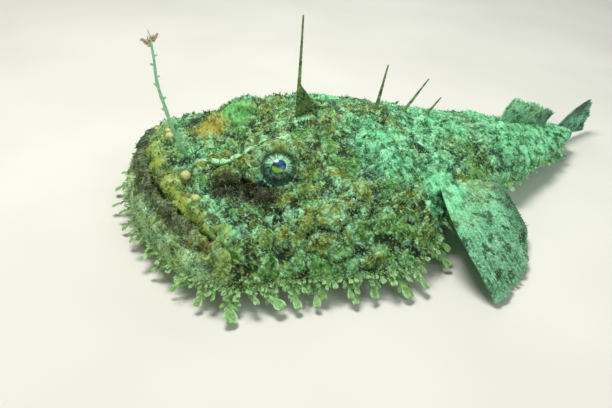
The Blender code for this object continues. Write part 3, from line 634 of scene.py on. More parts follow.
def hide_pattern(tree, place, mouth=None):
    """The camouflage of the whole fish, with painted shade in the pads' gaps and the eye hollows:
    (colour, wetness, relief) sockets at a place.
    """
    edge, chance = pad_fields(tree, place)
    grains = {name: add(tree, "ShaderNodeTexNoise", {"Vector": place, "Scale": 1.0 / size,
                                                     "Detail": detail, "Roughness": rough})
              for name, size, detail, rough in GRAINS}
    broad = grains["broad"]
    patches = grains["patches"]
    drift = grains["drift"]
    shade = grains["shade"]
    speckle = grains["speckle"]
    dust = grains["dust"]

    # Olive of the head: each pad has its own tone, broken into patches
    colour = tinted(tree, linear(OLIVE), OLIVE_YELLOW, 0.85, (broad, 0.43, 0.54))
    colour = tinted(tree, colour, OLIVE_GREEN, 0.75, (chance, 0.36, 0.26))
    colour = tinted(tree, colour, OLIVE_DARK, 0.65, (patches, 0.50, 0.38))

    # Mint of the shoulder, flank and tail, mixed grain by grain into the olive
    mint = tinted(tree, linear(MINT), MINT_DARK, 0.85, (patches, 0.52, 0.38))
    mint = tinted(tree, mint, MINT_PALE, 0.80, (drift, 0.47, 0.60))
    level = broad
    pale = 0.0
    for centre, spread, share in PALE_PATCHES:
        near = nearness(tree, place, centre, spread)
        near = add(tree, "ShaderNodeMath", {0: near, 1: share}, operation="MULTIPLY")
        pale = add(tree, "ShaderNodeMath", {0: near, 1: pale}, operation="MAXIMUM")
    for value, weight in ((drift, 0.44), (pale, 0.34), (speckle, 0.10), (chance, 0.10)):
        level = add(tree, "ShaderNodeMath", {0: value, 1: weight, 2: level},
                    operation="MULTIPLY_ADD")
    colour = tinted(tree, colour, mint, 1.0, (level, 0.90, 1.05))

    # Pale lichen-like rims on the pads, painted shade in the gaps between them, and dark spots
    colour = tinted(tree, colour, LACE, 0.72, (edge, 0.230, 0.110), (edge, 0.040, 0.085),
                    (drift, 0.42, 0.56), (speckle, 0.30, 0.50))
    colour = tinted(tree, colour, OLIVE_DARK, 0.60, (edge, 0.075, 0.010))
    colour = tinted(tree, colour, GAP_SHADE_AND_MOTTLE, 0.92, (edge, 0.085, 0.010), (pale, 1.0, 0.4),
                    (patches, 0.64, 0.50))
    colour = tinted(tree, colour, SPOT_DARK, 0.88, (grains["blots"], 0.595, 0.645))
    colour = tinted(tree, colour, MINT_SHADE, 0.66, (shade, 0.50, 0.40), (pale, 0.2, 0.7))

    # Soft light and dark over a centimetre or two
    colour = tinted(tree, colour, GAP_SHADE_AND_MOTTLE, 0.66, (shade, 0.46, 0.34))
    colour = tinted(tree, colour, LACE, 0.50, (shade, 0.50, 0.66), (level, 0.70, 0.95))
    colour = tinted(tree, colour, GRIT, 0.42, (shade, 0.52, 0.68), (level, 0.95, 0.70))

    # Close-set grains of skin, pale at the top and dark between
    grain = add(tree, "ShaderNodeTexVoronoi", {"Vector": place, "Scale": 1.0 / GRAIN_SIZE},
                "Distance", feature="F1")
    mixed = add(tree, "ShaderNodeMath", {0: speckle, 1: -0.9, 2: grain}, operation="MULTIPLY_ADD")
    colour = tinted(tree, colour, GAP_SHADE_AND_MOTTLE, 0.44, (mixed, 0.04, 0.24), (pale, 1.4, 0.2))
    colour = tinted(tree, colour, GRIT, 0.46, (mixed, -0.08, -0.26), (level, 1.0, 0.8))
    colour = tinted(tree, colour, LACE, 0.46, (mixed, -0.08, -0.26), (level, 0.8, 1.0))
    colour = tinted(tree, colour, LACE, 0.34, (dust, 0.57, 0.70), (level, 0.88, 1.10))

    # The lower jaw is paler and warmer, and deep brown painted shade fills the hollows at the eyes
    warm = jaw_colour(tree, grains)
    for side in (-1.0, 1.0):
        jaw = nearness(tree, place, (JAW_MIDDLE[0], side * JAW_MIDDLE[1], JAW_MIDDLE[2]),
                       JAW_SPREAD)
        colour = tinted(tree, colour, warm, 0.85, (jaw, 0.0, 0.6), (drift, 0.34, 0.46))
        for x, y, z in EYE_HOLLOW_SHADES:
            hollow = nearness(tree, place, (x, side * y, z), HOLLOW_SHADE_SPREAD)
            colour = tinted(tree, colour, HOLLOW_SHADE, 0.92, (hollow, 0.0, 0.7),
                            (drift, 0.32, 0.46))
    for centre, spread, brow, strength in MOUND_PATCHES:
        near = nearness(tree, place, centre, spread)
        colour = tinted(tree, colour, brow, strength, (near, 0.0, 0.9), (drift, 0.30, 0.50))
    if mouth is not None:
        colour = with_mouth(tree, colour, place, mouth, grains)

    # The belly is plain and pale
    above_floor = add(tree, "ShaderNodeSeparateXYZ", {0: place}, 2)
    colour = tinted(tree, colour, BELLY, 1.0, (above_floor, 0.016, 0.003))

    relief = add(tree, "ShaderNodeMath", {0: dust, 1: 0.4, 2: speckle}, operation="MULTIPLY_ADD")
    relief = add(tree, "ShaderNodeMath", {0: grain, 1: -0.7, 2: relief}, operation="MULTIPLY_ADD")
    wet = add(tree, "ShaderNodeMapRange", {0: speckle, 1: 0.3, 2: 0.7, 3: 0.36, 4: 0.66})
    return colour, wet, relief


def new_finish(name):
    """A new finish and its node tree."""
    finish = bpy.data.materials.new(name)
    finish.use_nodes = True
    return finish, finish.node_tree


def coated(finish, inputs):
    """Feed a finish's Principled shader and give the finish back."""
    feed(finish.node_tree, finish.node_tree.nodes["Principled BSDF"], inputs)
    return finish


def hide_finish():
    """Wet, warty, slime-covered skin: broken soft highlights over mottled pigment, with painted
    shade in its gaps and hollows.
    """
    finish, tree = new_finish("wet mottled anglerfish hide")
    place = add(tree, "ShaderNodeAttribute", None, "Vector", attribute_name="rest_place")
    mouth = add(tree, "ShaderNodeAttribute", None, "Fac", attribute_name="mouth")
    lid = add(tree, "ShaderNodeAttribute", None, "Vector", attribute_name="lid")
    colour, wet, relief = hide_pattern(tree, place, mouth)
    reach, streak, above = add(tree, "ShaderNodeSeparateXYZ", {0: lid}).node.outputs

    # Streaks run outwards over the lids, olive above the eye and dark below it
    upper = tinted(tree, linear(LID_OLIVE), LID_PALE, 0.75, (streak, 0.48, 0.62))
    lower = tinted(tree, linear(LID_DARK), LID_PALE, 0.55, (streak, 0.54, 0.66))
    ringed = tinted(tree, lower, upper, 1.0, (above, -0.35, 0.25))
    colour = tinted(tree, colour, ringed, 0.62, (reach, 0.034, 0.024), (relief, 0.20, 0.50))
    colour = tinted(tree, colour, LID_PALE, 0.60, (reach, 0.0252, 0.0238), (above, 0.1, -0.5),
                    (streak, 0.36, 0.56))
    bump = add(tree, "ShaderNodeBump", {"Height": relief, "Distance": 0.0015, "Strength": 0.9})
    return coated(finish, {"Base Color": colour, "Roughness": wet, "Normal": bump,
                           "Specular IOR Level": 0.28, "Subsurface Weight": 0.05,
                           "Subsurface Radius": (0.004, 0.003, 0.002)})


def wart_finish():
    """Small pointed warts: the hide's own colours, a little lighter at the tip."""
    finish, tree = new_finish("pointed skin warts")
    place = add(tree, "ShaderNodeTexCoord", None, "Object")
    mouth = add(tree, "ShaderNodeAttribute", None, "Fac", attribute_name="mouth")
    outward = add(tree, "ShaderNodeAttribute", None, "Fac", attribute_name="outward")
    colour, wet = hide_pattern(tree, place, mouth)[:2]
    colour = tinted(tree, colour, LACE, 0.45, (outward, 0.2, 1.0))
    return coated(finish, {"Base Color": colour, "Roughness": wet, "Specular IOR Level": 0.35})


def flap_finish(name, root_colour, tip_colour, blend):
    """Thin translucent skin flaps: the hide's colour at the root, paler out to the rim."""
    finish, tree = new_finish(name)
    place = add(tree, "ShaderNodeTexCoord", None, "Object")
    outward = add(tree, "ShaderNodeAttribute", None, "Fac", attribute_name="outward")
    rim = add(tree, "ShaderNodeAttribute", None, "Fac", attribute_name="rim")
    colour, wet = hide_pattern(tree, place)[:2]
    mottle = add(tree, "ShaderNodeTexNoise", {"Vector": place, "Scale": 1.0 / FLAP_MOTTLE_SIZE,
                                              "Detail": 3.0, "Roughness": 0.65})
    own = tinted(tree, linear(root_colour), tip_colour, 1.0, (outward, 0.10, 0.85))
    own = tinted(tree, own, root_colour, 0.60, (mottle, 0.56, 0.42))
    own = tinted(tree, own, FLAP_RIM, 0.65, (rim, 0.45, 1.0), (outward, 0.3, 0.8))
    colour = tinted(tree, colour, own, blend, (outward, 0.0, 0.45))
    return coated(finish, {"Base Color": colour, "Roughness": wet, "Specular IOR Level": 0.35,
                           "Subsurface Weight": 0.12,
                           "Subsurface Radius": (0.003, 0.004, 0.002)})


def fin_finish(name, root_colour, tip_colour, ray_colour, hide_share):
    """Fin web between soft rays: thin wet skin, mottled and spotted, with the rays paler."""
    finish, tree = new_finish(name)
    place = add(tree, "ShaderNodeTexCoord", None, "Object")
    ridge = add(tree, "ShaderNodeAttribute", None, "Fac", attribute_name="ridge")
    outward = add(tree, "ShaderNodeAttribute", None, "Fac", attribute_name="outward")
    across = add(tree, "ShaderNodeAttribute", None, "Fac", attribute_name="across")
    colour, wet, relief = hide_pattern(tree, place)
    cloud, spot, speckle = [add(tree, "ShaderNodeTexNoise",
                                {"Vector": place, "Scale": 1.0 / size, "Detail": 4.0,
                                 "Roughness": 0.62}) for size in FIN_GRAIN_SIZES]
    own = tinted(tree, linear(root_colour), tip_colour, 1.0, (outward, 0.35, 1.0))
    own = tinted(tree, own, ray_colour, 0.70, (cloud, 0.46, 0.62))
    own = tinted(tree, own, ray_colour, 0.35, (ridge, 0.3, 1.0))
    own = tinted(tree, own, FIN_SHADE, 0.40, (ridge, 0.30, 0.05), (outward, 0.5, 0.9),
                 (cloud, 0.55, 0.42))
    own = tinted(tree, own, FIN_SPOT, 0.85, (spot, 0.51, 0.60))
    own = tinted(tree, own, FIN_SPOT, 0.60, (speckle, 0.48, 0.36))
    own = tinted(tree, own, LACE, 0.60, (speckle, 0.54, 0.66))
    own = tinted(tree, own, FIN_EDGE, 0.72, (across, 0.55, 0.95), (cloud, 0.34, 0.50))
    own = tinted(tree, own, LACE, 0.50, (outward, 0.94, 1.0))
    colour = tinted(tree, own, colour, hide_share, (outward, 0.60, 0.05))
    bump = add(tree, "ShaderNodeBump", {"Height": relief, "Distance": 0.0008, "Strength": 0.7})
    return coated(finish, {"Base Color": colour, "Roughness": wet, "Normal": bump,
                           "Specular IOR Level": 0.4})


def eye_finish():
    """A wet eye: pupil with a two-toned painted reflection, pale iris with dark spokes, glossy
    cornea.
    """
    finish, tree = new_finish("wet cornea over a spoked iris")
    local = add(tree, "ShaderNodeAttribute", None, "Vector", attribute_name="eye_place")
    across, up = add(tree, "ShaderNodeSeparateXYZ", {0: local}).node.outputs[:2]
    flat = add(tree, "ShaderNodeCombineXYZ", {0: across, 1: up})
    reach = add(tree, "ShaderNodeVectorMath", {0: flat}, "Value", operation="LENGTH")
    around = add(tree, "ShaderNodeVectorMath", {0: flat}, operation="NORMALIZE")
    spoke = add(tree, "ShaderNodeTexNoise", {"Vector": around, "Scale": 7.0, "Detail": 3.0,
                                             "Roughness": 0.70})
    fine = add(tree, "ShaderNodeTexNoise", {"Vector": local, "Scale": 8.0, "Detail": 4.0,
                                            "Roughness": 0.70})
    upper = tinted(tree, linear(IRIS_MINT), IRIS_PALE, 1.0, (fine, 0.40, 0.58))
    lower = tinted(tree, linear(IRIS_TEAL), IRIS_TEAL_PALE, 0.9, (fine, 0.47, 0.60))
    slanted = add(tree, "ShaderNodeMath", {0: across, 1: 0.35, 2: up}, operation="MULTIPLY_ADD")
    iris = tinted(tree, lower, upper, 1.0, (slanted, -0.25, 0.08))
    longer = add(tree, "ShaderNodeMath", {0: reach, 1: 0.22, 2: spoke}, operation="MULTIPLY_ADD")
    iris = tinted(tree, iris, IRIS_SPOKE, 0.85, (longer, 0.640, 0.700))
    iris = tinted(tree, iris, IRIS_SHADE, 0.60, (reach, 0.66, 0.80))

    # The pupil is a tilted oval with an uneven edge, with painted reflections, blue above and
    # yellow-green below
    lean = math.cos(PUPIL_TILT)
    rise = math.sin(PUPIL_TILT)
    along = add(tree, "ShaderNodeVectorMath", {0: flat, 1: (lean, rise, 0.0)}, "Value",
                operation="DOT_PRODUCT")
    off = add(tree, "ShaderNodeVectorMath", {0: flat, 1: (-rise, lean, 0.0)}, "Value",
              operation="DOT_PRODUCT")
    wide = add(tree, "ShaderNodeMath", {0: off, 1: 1.20}, operation="MULTIPLY")
    oval = add(tree, "ShaderNodeCombineXYZ", {0: along, 1: wide})
    oval = add(tree, "ShaderNodeVectorMath", {0: oval}, "Value", operation="LENGTH")
    oval = add(tree, "ShaderNodeMath", {0: fine, 1: 0.08, 2: oval}, operation="MULTIPLY_ADD")
    # The pupil's colour is a painted reflection, lime below and blue above, over its own dark
    lens = tinted(tree, linear(PUPIL_LIME_REFLECTION), PUPIL_DARK, 1.0, (slanted, -0.20, 0.00))
    lens = tinted(tree, lens, PUPIL_BLUE_REFLECTION, 0.85, (slanted, -0.04, 0.14), (fine, 0.38, 0.56))
    lens = tinted(tree, lens, PUPIL_EDGE, 0.9, (oval, 0.38, 0.46))
    colour = tinted(tree, iris, lens, 1.0, (oval, 0.50, 0.46))
    edge = tinted(tree, linear(RING_TEAL), RING_OLIVE, 1.0, (slanted, -0.30, 0.20))
    edge = tinted(tree, edge, RING_PALE, 0.65, (fine, 0.48, 0.60))
    colour = tinted(tree, colour, edge, 1.0, (reach, 0.84, 0.92))
    return coated(finish, {"Base Color": colour, "Roughness": 0.30, "IOR": 1.376,
                           "Coat Weight": 1.0, "Coat Roughness": 0.04})


def floor_finish():
    """A matt floor, very slightly uneven in tone."""
    finish, tree = new_finish("pale matt floor")
    place = add(tree, "ShaderNodeTexCoord", None, "Object")
    noise = add(tree, "ShaderNodeTexNoise", {"Vector": place, "Scale": 3.0})
    colour = tinted(tree, linear(FLOOR_GREY), FLOOR_WHITE, 1.0, (noise, 0.2, 0.8))
    return coated(finish, {"Base Color": colour, "Roughness": 0.85})


# Skin of the whole body: mottled, with broken soft highlights
HIDE = hide_finish()

# Flaps of thin skin: colour at the root and at the tip, and how far they hide the skin's pattern

# Leafy lappets of the margin: green stalks that pale out to a light rim
LAPPET = flap_finish("pale branched lappet skin", "4a6c2e", "98cc7c", 0.90)
# Low growth on head and back: dull and mossy, close to the hide's own colours
TUFT = flap_finish("mossy skin tufts", "4f7a3a", "a8d88c", 0.32)
# Threads of skin: pale lines that catch the light
SPIKE = flap_finish("pale skin filaments", "78b080", "b4f4c8", 0.58)
# Chalky knots of skin: white stars on the mottled hide
STAR = flap_finish("white star warts", "b4ecd0", "f4fff6", 1.0)
# Firm knobs of skin: dark brown points
KNOB = flap_finish("brown pointed skin knobs", "2c2412", "6a5a34", 0.95)
# Smooth skin of the nostrils: plain yellow with a pale top
NOSTRIL = flap_finish("yellow nostril skin", "98a458", "dcdc98", 1.0)
# Smooth skin of the fishing rod: pale green along its length
ROD = flap_finish("pale fishing rod skin", "8cc898", "b4f0c4", 1.0)
# Thin web laid on the head: pale mint, lighter at its rim
WEB = flap_finish("pale mint web skin", "8ad8a4", "bcfccc", 1.0)
# Flat flaps of the rod: nearly white where they are thinnest
LURE_FLAP = flap_finish("pale flaps of the rod", "a8dcae", "dcffdc", 1.0)
# Soft flesh of the bait: pinkish and pale at its ends
LURE_FLESH = flap_finish("pinkish lure flesh", "b09070", "f0c8b4", 1.0)

# Web over rays: colour at the root, at the tip and on the rays, and the skin's pattern's share

# Broad pectoral fins: the shoulder's mint runs out into dark mottled green
PECTORAL = fin_finish("mint pectoral fin skin", "80d4a0", "3c6844", "98e0b4", 0.85)
# Tail fin: deep teal web with pale ray lines
TAIL_FIN = fin_finish("teal tail fin skin", "4a9c74", "2f7c5e", "96e8c0", 0.30)
# Small soft fins: light green, hardly darker between the rays
SOFT_FIN = fin_finish("olive soft fin skin", "80c890", "9ce0ac", "c0ffd0", 0.50)
# Bony spines under skin: dull olive with a lighter ridge
SPINE = fin_finish("olive spine skin", "66803a", "4a6a30", "94b468", 0.10)

# Cornea over the iris: wet and glassy, with sharp highlights
EYE = eye_finish()
# Small warts of hide and pectoral fins: the hide's colours with lighter points
WART = wart_finish()


# The hide: one closed skin over jaw, head, torso and tail

def eye_centre(side):
    """Middle of an eyeball, before the bend."""
    x, y = EYE_PLACE
    return np.array((x, side * y, float(top_height(x, y)) - EYE_SINK))


def eye_offsets(points, side):
    """An eye's axis, and offsets from its middle: whole, along the axis and square to it."""
    axis = EYE_AXIS * np.array((1.0, side, 1.0))
    offset = points - eye_centre(side)
    along = offset @ axis
    return axis, offset, along, offset - along[..., None] * axis


def raise_lids(points):
    """Shape the skin round each eye into a thick rounded lid that hugs the ball."""
    for side in (-1, 1):
        axis, offset, along, flat = eye_offsets(points, side)
        reach = np.linalg.norm(flat, axis=-1)
        ball = np.sqrt(np.maximum(EYE_RADIUS ** 2 - np.minimum(reach, EYE_RADIUS) ** 2, 0.0))
        around = relief_noise(offset, LID_LOBE_SIZE, 31 + side)
        opening = LID_OPENING + LID_LOBE_REACH * around
        hidden = ball - LID_TUCK
        roll = np.sin(np.clip((reach - opening) / LID_ROLL_WIDTH, 0.0, 1.0) * math.pi)
        crest = (np.sqrt(EYE_RADIUS ** 2 - LID_OPENING ** 2) + LID_HEIGHT
                 - np.maximum(reach - opening - LID_FLAT, 0.0) * LID_SLOPE
                 + LID_ROLL_RISE * roll)
        open_share = eased(np.clip((reach - opening) / LID_EDGE, 0.0, 1.0))
        wanted = hidden + (crest - hidden) * open_share
        near = eased(np.clip((LID_REACH - reach) / (LID_REACH - LID_FULL_REACH), 0.0, 1.0))
        near = np.where(along > -0.012, near, 0.0)
        points = points + ((wanted - along) * near)[..., None] * axis
    return points


def eye_closeness(points, near, far):
    """1 within the near distance of an eye's axis, falling smoothly to 0 at the far one."""
    total = 0.0
    for side in (-1, 1):
        along, flat = eye_offsets(points, side)[2:]
        reach = np.linalg.norm(flat, axis=-1)
        share = np.clip((far - reach) / (far - near), 0.0, 1.0)
        share = np.where(along > -0.015, share, 0.0)
        total = np.maximum(total, eased(share))
    return total


def lid_values(points):
    """Distance from an eye's axis, an uneven streak that runs outwards, and how far above."""
    total = np.ones(points.shape)
    for side in (-1, 1):
        along, flat = eye_offsets(points, side)[2:]
        way = flat / np.maximum(np.linalg.norm(flat, axis=-1, keepdims=True), 1e-6)
        streak = relief_noise(way + side * 3.0, 0.10, 51, 2) * 0.6 + 0.5
        reach = np.where(along > -0.022, np.linalg.norm(flat, axis=-1), 1.0)
        own = np.stack((reach, streak, way[..., 2]), axis=-1)
        total = np.where(points[..., 1:2] * side > 0.0, own, total)
    return total


def hide_rows():
    """Corner, depth and bow of each row of the hide, from the front edge to the tail."""
    jaw = spaced(0.0, 1.0, JAW_ROWS, lambda share: 1.0 + 1.5 * share ** 4)[:-1]
    head = spaced(0.0, 1.0, HEAD_ROWS,
                  lambda share: (1.0 + 1.3 * np.exp(-((share - 0.375) / 0.10) ** 2)
                                 + 1.6 * np.exp(-(share / 0.03) ** 2)))
    back = np.linspace(NECK, TAIL_ROOT, BACK_ROWS)[1:]
    corner = np.concatenate((FRONT_DEPTH + (MOUTH_CORNER - FRONT_DEPTH) * jaw,
                             MOUTH_CORNER + (NECK - MOUTH_CORNER) * head, back))
    depth = np.concatenate((FRONT_DEPTH + (MOUTH_DEPTH - FRONT_DEPTH) * jaw,
                            MOUTH_DEPTH * (1.0 - head), back * 0.0))
    bow = np.concatenate((0.5 + (MOUTH_BOW - 0.5) * jaw,
                          MOUTH_BOW + (1.0 - MOUTH_BOW) * head, back * 0.0 + 1.0))
    return corner[:, None], depth[:, None], bow[:, None]


def hide_surface():
    """Upper and under side of the hide, unbent, as grids of points that share their rims.

    Also gives the share of the pads' relief and the distance behind the mouth at each point.
    """
    corner, depth, bow = hide_rows()
    angle = spaced(-math.pi / 2.0, math.pi / 2.0, COLUMNS + 1,
                   lambda turn: 1.0 + 1.1 * np.exp(-((np.abs(turn) - 0.405) / 0.15) ** 2))[None, :]
    inner = np.maximum(np.cos(angle), 0.0)
    inner[0, 0] = 0.0
    inner[0, -1] = 0.0
    x = corner - depth * inner ** (2.0 * bow)
    y = half_width(corner) * np.sin(angle)
    inside = np.clip(1.0 - outline_measure(x, y), 0.0, 1.0)
    inside[:, 0] = 0.0
    inside[:, -1] = 0.0
    inside[0, :] = 0.0
    rim = smooth_profile(RIM_HEIGHTS, x)
    top_z = np.where(inside > 0.0, top_height(x, y), rim)
    under_z = np.where(inside > 0.0, under_height(x, y), rim)
    fade = np.clip(inside * 4.0, 0.0, 1.0)
    behind = mouth_distance(x, y)
    top_z = top_z - (SLIT_DEPTH * np.exp(-(behind / SLIT_SPREAD) ** 2)
                     + LIP_ROLL_DEPTH * np.exp(-(behind / LIP_ROLL_SPREAD) ** 2)) * fade
    top_z = top_z + sum(lump(x, y, form) for form in HIDE_HOLLOWS) * fade
    top_z = top_z + np.where(y > 0.0, lump(x, y, FAR_MOUND), 0.0)
    top = np.stack((x, y, top_z), axis=-1)
    soft = np.clip(inside * 7.0, 0.0, 1.0)
    swell = relief_noise(top, SWELL_SIZE, 3, 2) * SWELL_RISE
    ridges = 1.0 - np.abs(relief_noise(top, RIDGE_SIZE, 5, 2))
    push = swell + (ridges - RIDGE_LEVEL) * RIDGE_RISE
    top = raise_lids(top + upward_normals(top) * (push * soft)[..., None])

    # The pads' relief fades towards the rims, the mouth line and the eyes
    quiet = np.clip(inside * 9.0, 0.0, 1.0) * np.clip(np.abs(behind) / 0.004, 0.15, 1.0)
    quiet = quiet * (1.0 - eye_closeness(top, 0.021, 0.032))
    quiet = quiet * np.interp(x, PAD_STATIONS, PAD_SHARES)
    under = np.stack((x, y, under_z), axis=-1)
    wrinkle = relief_noise(under, WRINKLE_SIZE, 11, 2) * WRINKLE_RISE
    under[..., 2] += np.where(inside > 0.0, np.clip(under_z / 0.006, 0.0, 1.0) * wrinkle, 0.0)
    return top, under, quiet, behind


def with_cap(top, under):
    """Close the tail with rows that shrink to its middle, behind the last row."""
    middle = (top[-1, COLUMNS // 2] + under[-1, COLUMNS // 2]) / 2.0
    closed = []
    for grid in (top, under):
        rows = [grid]
        for step in range(1, CAP_ROWS + 1):
            turn = math.pi / 2.0 * step / (CAP_ROWS + CAP_SHORTFALL)
            row = middle + (grid[-1] - middle) * math.cos(turn)
            row[:, 0] = TAIL_ROOT + CAP_DEPTH * math.sin(turn)
            rows.append(row[None])
        closed.append(np.concatenate(rows))
    return closed


def hide_faces(rows):
    """Faces over both grids; the underside is coarser and shares the rims of the top."""
    wide = COLUMNS + 1
    coarse = COLUMNS // UNDER_STEP
    top_at = np.arange(rows * wide).reshape(rows, wide)
    under_at = np.zeros((rows, coarse + 1), dtype=int)
    under_at[1:, 1:-1] = rows * wide + np.arange((rows - 1) * (coarse - 1)).reshape(rows - 1, -1)
    under_at[:, 0] = top_at[:, 0]
    under_at[:, -1] = top_at[:, -1]
    under_at[0] = top_at[0, ::UNDER_STEP]
    faces = grid_quads(top_at).tolist() + grid_quads(under_at[1:])[:, ::-1].tolist()

    # Faces with more corners join the coarse rows to the fine ones at the front and the tail
    for cell in range(coarse):
        span = slice(cell * UNDER_STEP, (cell + 1) * UNDER_STEP + 1)
        near, far = under_at[1, cell:cell + 2].tolist()
        faces.append([near, far] + top_at[0, span].tolist()[::-1])
        near, far = under_at[-1, cell:cell + 2].tolist()
        faces.append(top_at[-1, span].tolist() + [far, near])
    faces = [tuple(dict.fromkeys(face)) for face in faces]
    return [face for face in faces if len(face) > 2]


def capped(values):
    """Values of the grid's last row carried over the cap."""
    return np.concatenate((values, np.repeat(values[-1:], CAP_ROWS, axis=0)))


def raising_tree():
    """The Geometry Nodes tree that raises the hide's pads; it has no instances to realize."""
    tree, given = new_tree("Raise the pads of skin",
                           (("Hide", "Geometry"), ("Rise", "Float"), ("Finish", "Material")))
    place = add(tree, "GeometryNodeInputPosition")
    normal = add(tree, "GeometryNodeInputNormal")
    lift = add(tree, "GeometryNodeInputNamedAttribute", {"Name": "quiet"}, data_type="FLOAT")
    edge, chance = pad_fields(tree, place)
    for factor in (pad_height(tree, place, edge, chance), given["Rise"]):
        lift = add(tree, "ShaderNodeMath", {0: lift, 1: factor}, operation="MULTIPLY")
    push = add(tree, "ShaderNodeVectorMath", {0: normal, 3: lift}, operation="SCALE")
    kept = add(tree, "GeometryNodeStoreNamedAttribute",
               {"Geometry": given["Hide"], "Name": "rest_place", "Value": place},
               data_type="FLOAT_VECTOR", domain="POINT")
    rimmed = add(tree, "GeometryNodeStoreNamedAttribute",
                 {"Geometry": kept, "Name": "pad_edge", "Value": edge},
                 data_type="FLOAT", domain="POINT")
    raised = add(tree, "GeometryNodeSetPosition", {"Geometry": rimmed, "Offset": push})
    dressed = add(tree, "GeometryNodeSetMaterial",
                  {"Geometry": raised, "Material": given["Finish"]})
    add(tree, "NodeGroupOutput", {0: dressed})
    return tree


top_grid, under_grid, quiet_grid, mouth_grid = hide_surface()
lid_grid = lid_values(top_grid)
top_grid, under_grid = with_cap(top_grid, under_grid)
ROWS = len(top_grid)
hide_vertices = np.concatenate((top_grid.reshape(-1, 3),
                                under_grid[1:, UNDER_STEP:-1:UNDER_STEP].reshape(-1, 3)))
hide_vertices = bent(hide_vertices)
hide_vertices[:, 2] = np.maximum(hide_vertices[:, 2], 0.0)
spare = len(hide_vertices) - ROWS * (COLUMNS + 1)
hide_values = {"quiet": np.concatenate((capped(quiet_grid).ravel(), np.zeros(spare))),
               "mouth": np.concatenate((capped(mouth_grid).ravel(), np.ones(spare))),
               "lid": np.concatenate((capped(lid_grid).reshape(-1, 3), np.ones((spare, 3))))}
smooth_hide = closed_mesh("smooth_hide", hide_vertices, hide_faces(ROWS), hide_values)
raised_hide = through("hide", smooth_hide, raising_tree(), {"Rise": 1.0, "Finish": HIDE})
raised_places = np.zeros(len(raised_hide.vertices) * 3, dtype=np.float32)
raised_hide.vertices.foreach_get("co", raised_places)
pad_edges = np.zeros(len(raised_hide.vertices), dtype=np.float32)
raised_hide.attributes["pad_edge"].data.foreach_get("value", pad_edges)
shown(raised_hide, ("lower_jaw", "head", "torso", "tail"))

# The same surface after the bend, for what grows on it
GRID_POINTS = ROWS * (COLUMNS + 1)
TOP = raised_places[:GRID_POINTS * 3].reshape(ROWS, COLUMNS + 1, 3).astype(float)
PAD_EDGE = pad_edges[:GRID_POINTS].reshape(ROWS, COLUMNS + 1).astype(float)
MOUTH = capped(mouth_grid)
TOP_NORMALS = upward_normals(TOP)
TOP_BACKWARDS = unit(np.gradient(TOP, axis=0))
ROW_SHARE, COLUMN_SHARE = np.meshgrid(np.linspace(0.0, 0.98, ROWS),
                                      np.linspace(0.0, 0.60, COLUMNS + 1), indexing="ij")
TOP_UNWRAP = np.stack((ROW_SHARE + 0.01, COLUMN_SHARE + 0.01), axis=-1)


def hide_height(x, y):
    """Height of the finished hide at places in plan, before the bend."""
    flat = top_grid[..., :2].reshape(-1, 2)
    nearest = [np.argmin((flat[:, 0] - one_x) ** 2 + (flat[:, 1] - one_y) ** 2)
               for one_x, one_y in zip(np.ravel(x), np.ravel(y))]
    return TOP.reshape(-1, 3)[nearest, 2].reshape(np.shape(x))


# Eyes

def make_eye(side, word):
    """An eyeball with a slightly domed cornea, its pole along the gaze."""
    axis = EYE_AXIS * np.array((1.0, side, 1.0))
    upward = np.array((0.0, 0.0, 1.0))
    upward = upward - axis * (upward @ axis)
    upward /= np.linalg.norm(upward)
    sideways = np.cross(upward, axis)
    vertices = []
    local = []
    for row in range(EYE_ROWS + 1):
        tilt = math.pi * row / EYE_ROWS
        flat = math.sin(tilt)
        dome = 1.0 + DOME_RISE * math.exp(-(tilt / DOME_REACH) ** 4)
        for step in range(1 if row in (0, EYE_ROWS) else EYE_SIDES):
            turn = 2.0 * math.pi * step / EYE_SIDES
            spot = (flat * math.cos(turn), flat * math.sin(turn), math.cos(tilt))
            local.append(spot)
            place = (sideways * spot[0] + upward * spot[1]) * EYE_RADIUS
            place = place + axis * spot[2] * EYE_RADIUS * dome * EYE_DEPTH
            vertices.append(eye_centre(side) + place)
    faces = []
    end = 1 + (EYE_ROWS - 2) * EYE_SIDES
    for step in range(EYE_SIDES):
        after = (step + 1) % EYE_SIDES
        faces.append((0, 1 + step, 1 + after))
        faces.append((end + step, end + EYE_SIDES, end + after))
        for low in range(1, end, EYE_SIDES):
            high = low + EYE_SIDES
            faces.append((low + step, high + step, high + after, low + after))
    finished("eyeball_" + word, bent(vertices), faces, EYE, ("eye_" + word,),
             {"eye_place": local})


for side, word in ((-1, "left"), (1, "right")):
    make_eye(side, word)


# Fins, spines and the lure

def thin_grid(name, middle, thickness, finish, nodes, values):
    """A closed thin piece: a grid of middle points given a thickness, with a rounded edge."""
    rows, columns = middle.shape[:2]
    offset = grid_normals(middle) * (thickness / 2.0)[..., None]
    vertices = np.concatenate(((middle + offset).reshape(-1, 3), (middle - offset).reshape(-1, 3)))
    count = rows * columns
    at = np.arange(count).reshape(rows, columns)
    faces = grid_quads(at).tolist() + grid_quads(at + count)[:, ::-1].tolist()
    edge = list(at[:, 0]) + list(at[-1, 1:]) + list(at[-2::-1, -1]) + list(at[0, -2:0:-1])
    for start, end in zip(edge, edge[1:] + edge[:1]):
        faces.append((int(end), int(start), int(start) + count, int(end) + count))
    doubled = {key: np.concatenate((value.ravel(), value.ravel()))
               for key, value in values.items()}
    finished(name, vertices, faces, finish, nodes, doubled)


# Fins: points from root to tip and from ray to ray, spread of a ray in shares of the distance
# between two, thicknesses, size of the ripples and least height over the floor
FIN_ROWS = 34
PER_RAY = 8
RAY_SPREAD = 0.13
RAY_THICKNESS = 0.0022
WEB_THICKNESS = 0.0008
RIPPLE_SIZE = 0.045
FIN_CLEARANCE = 0.0016
FIN_GRIDS = {}


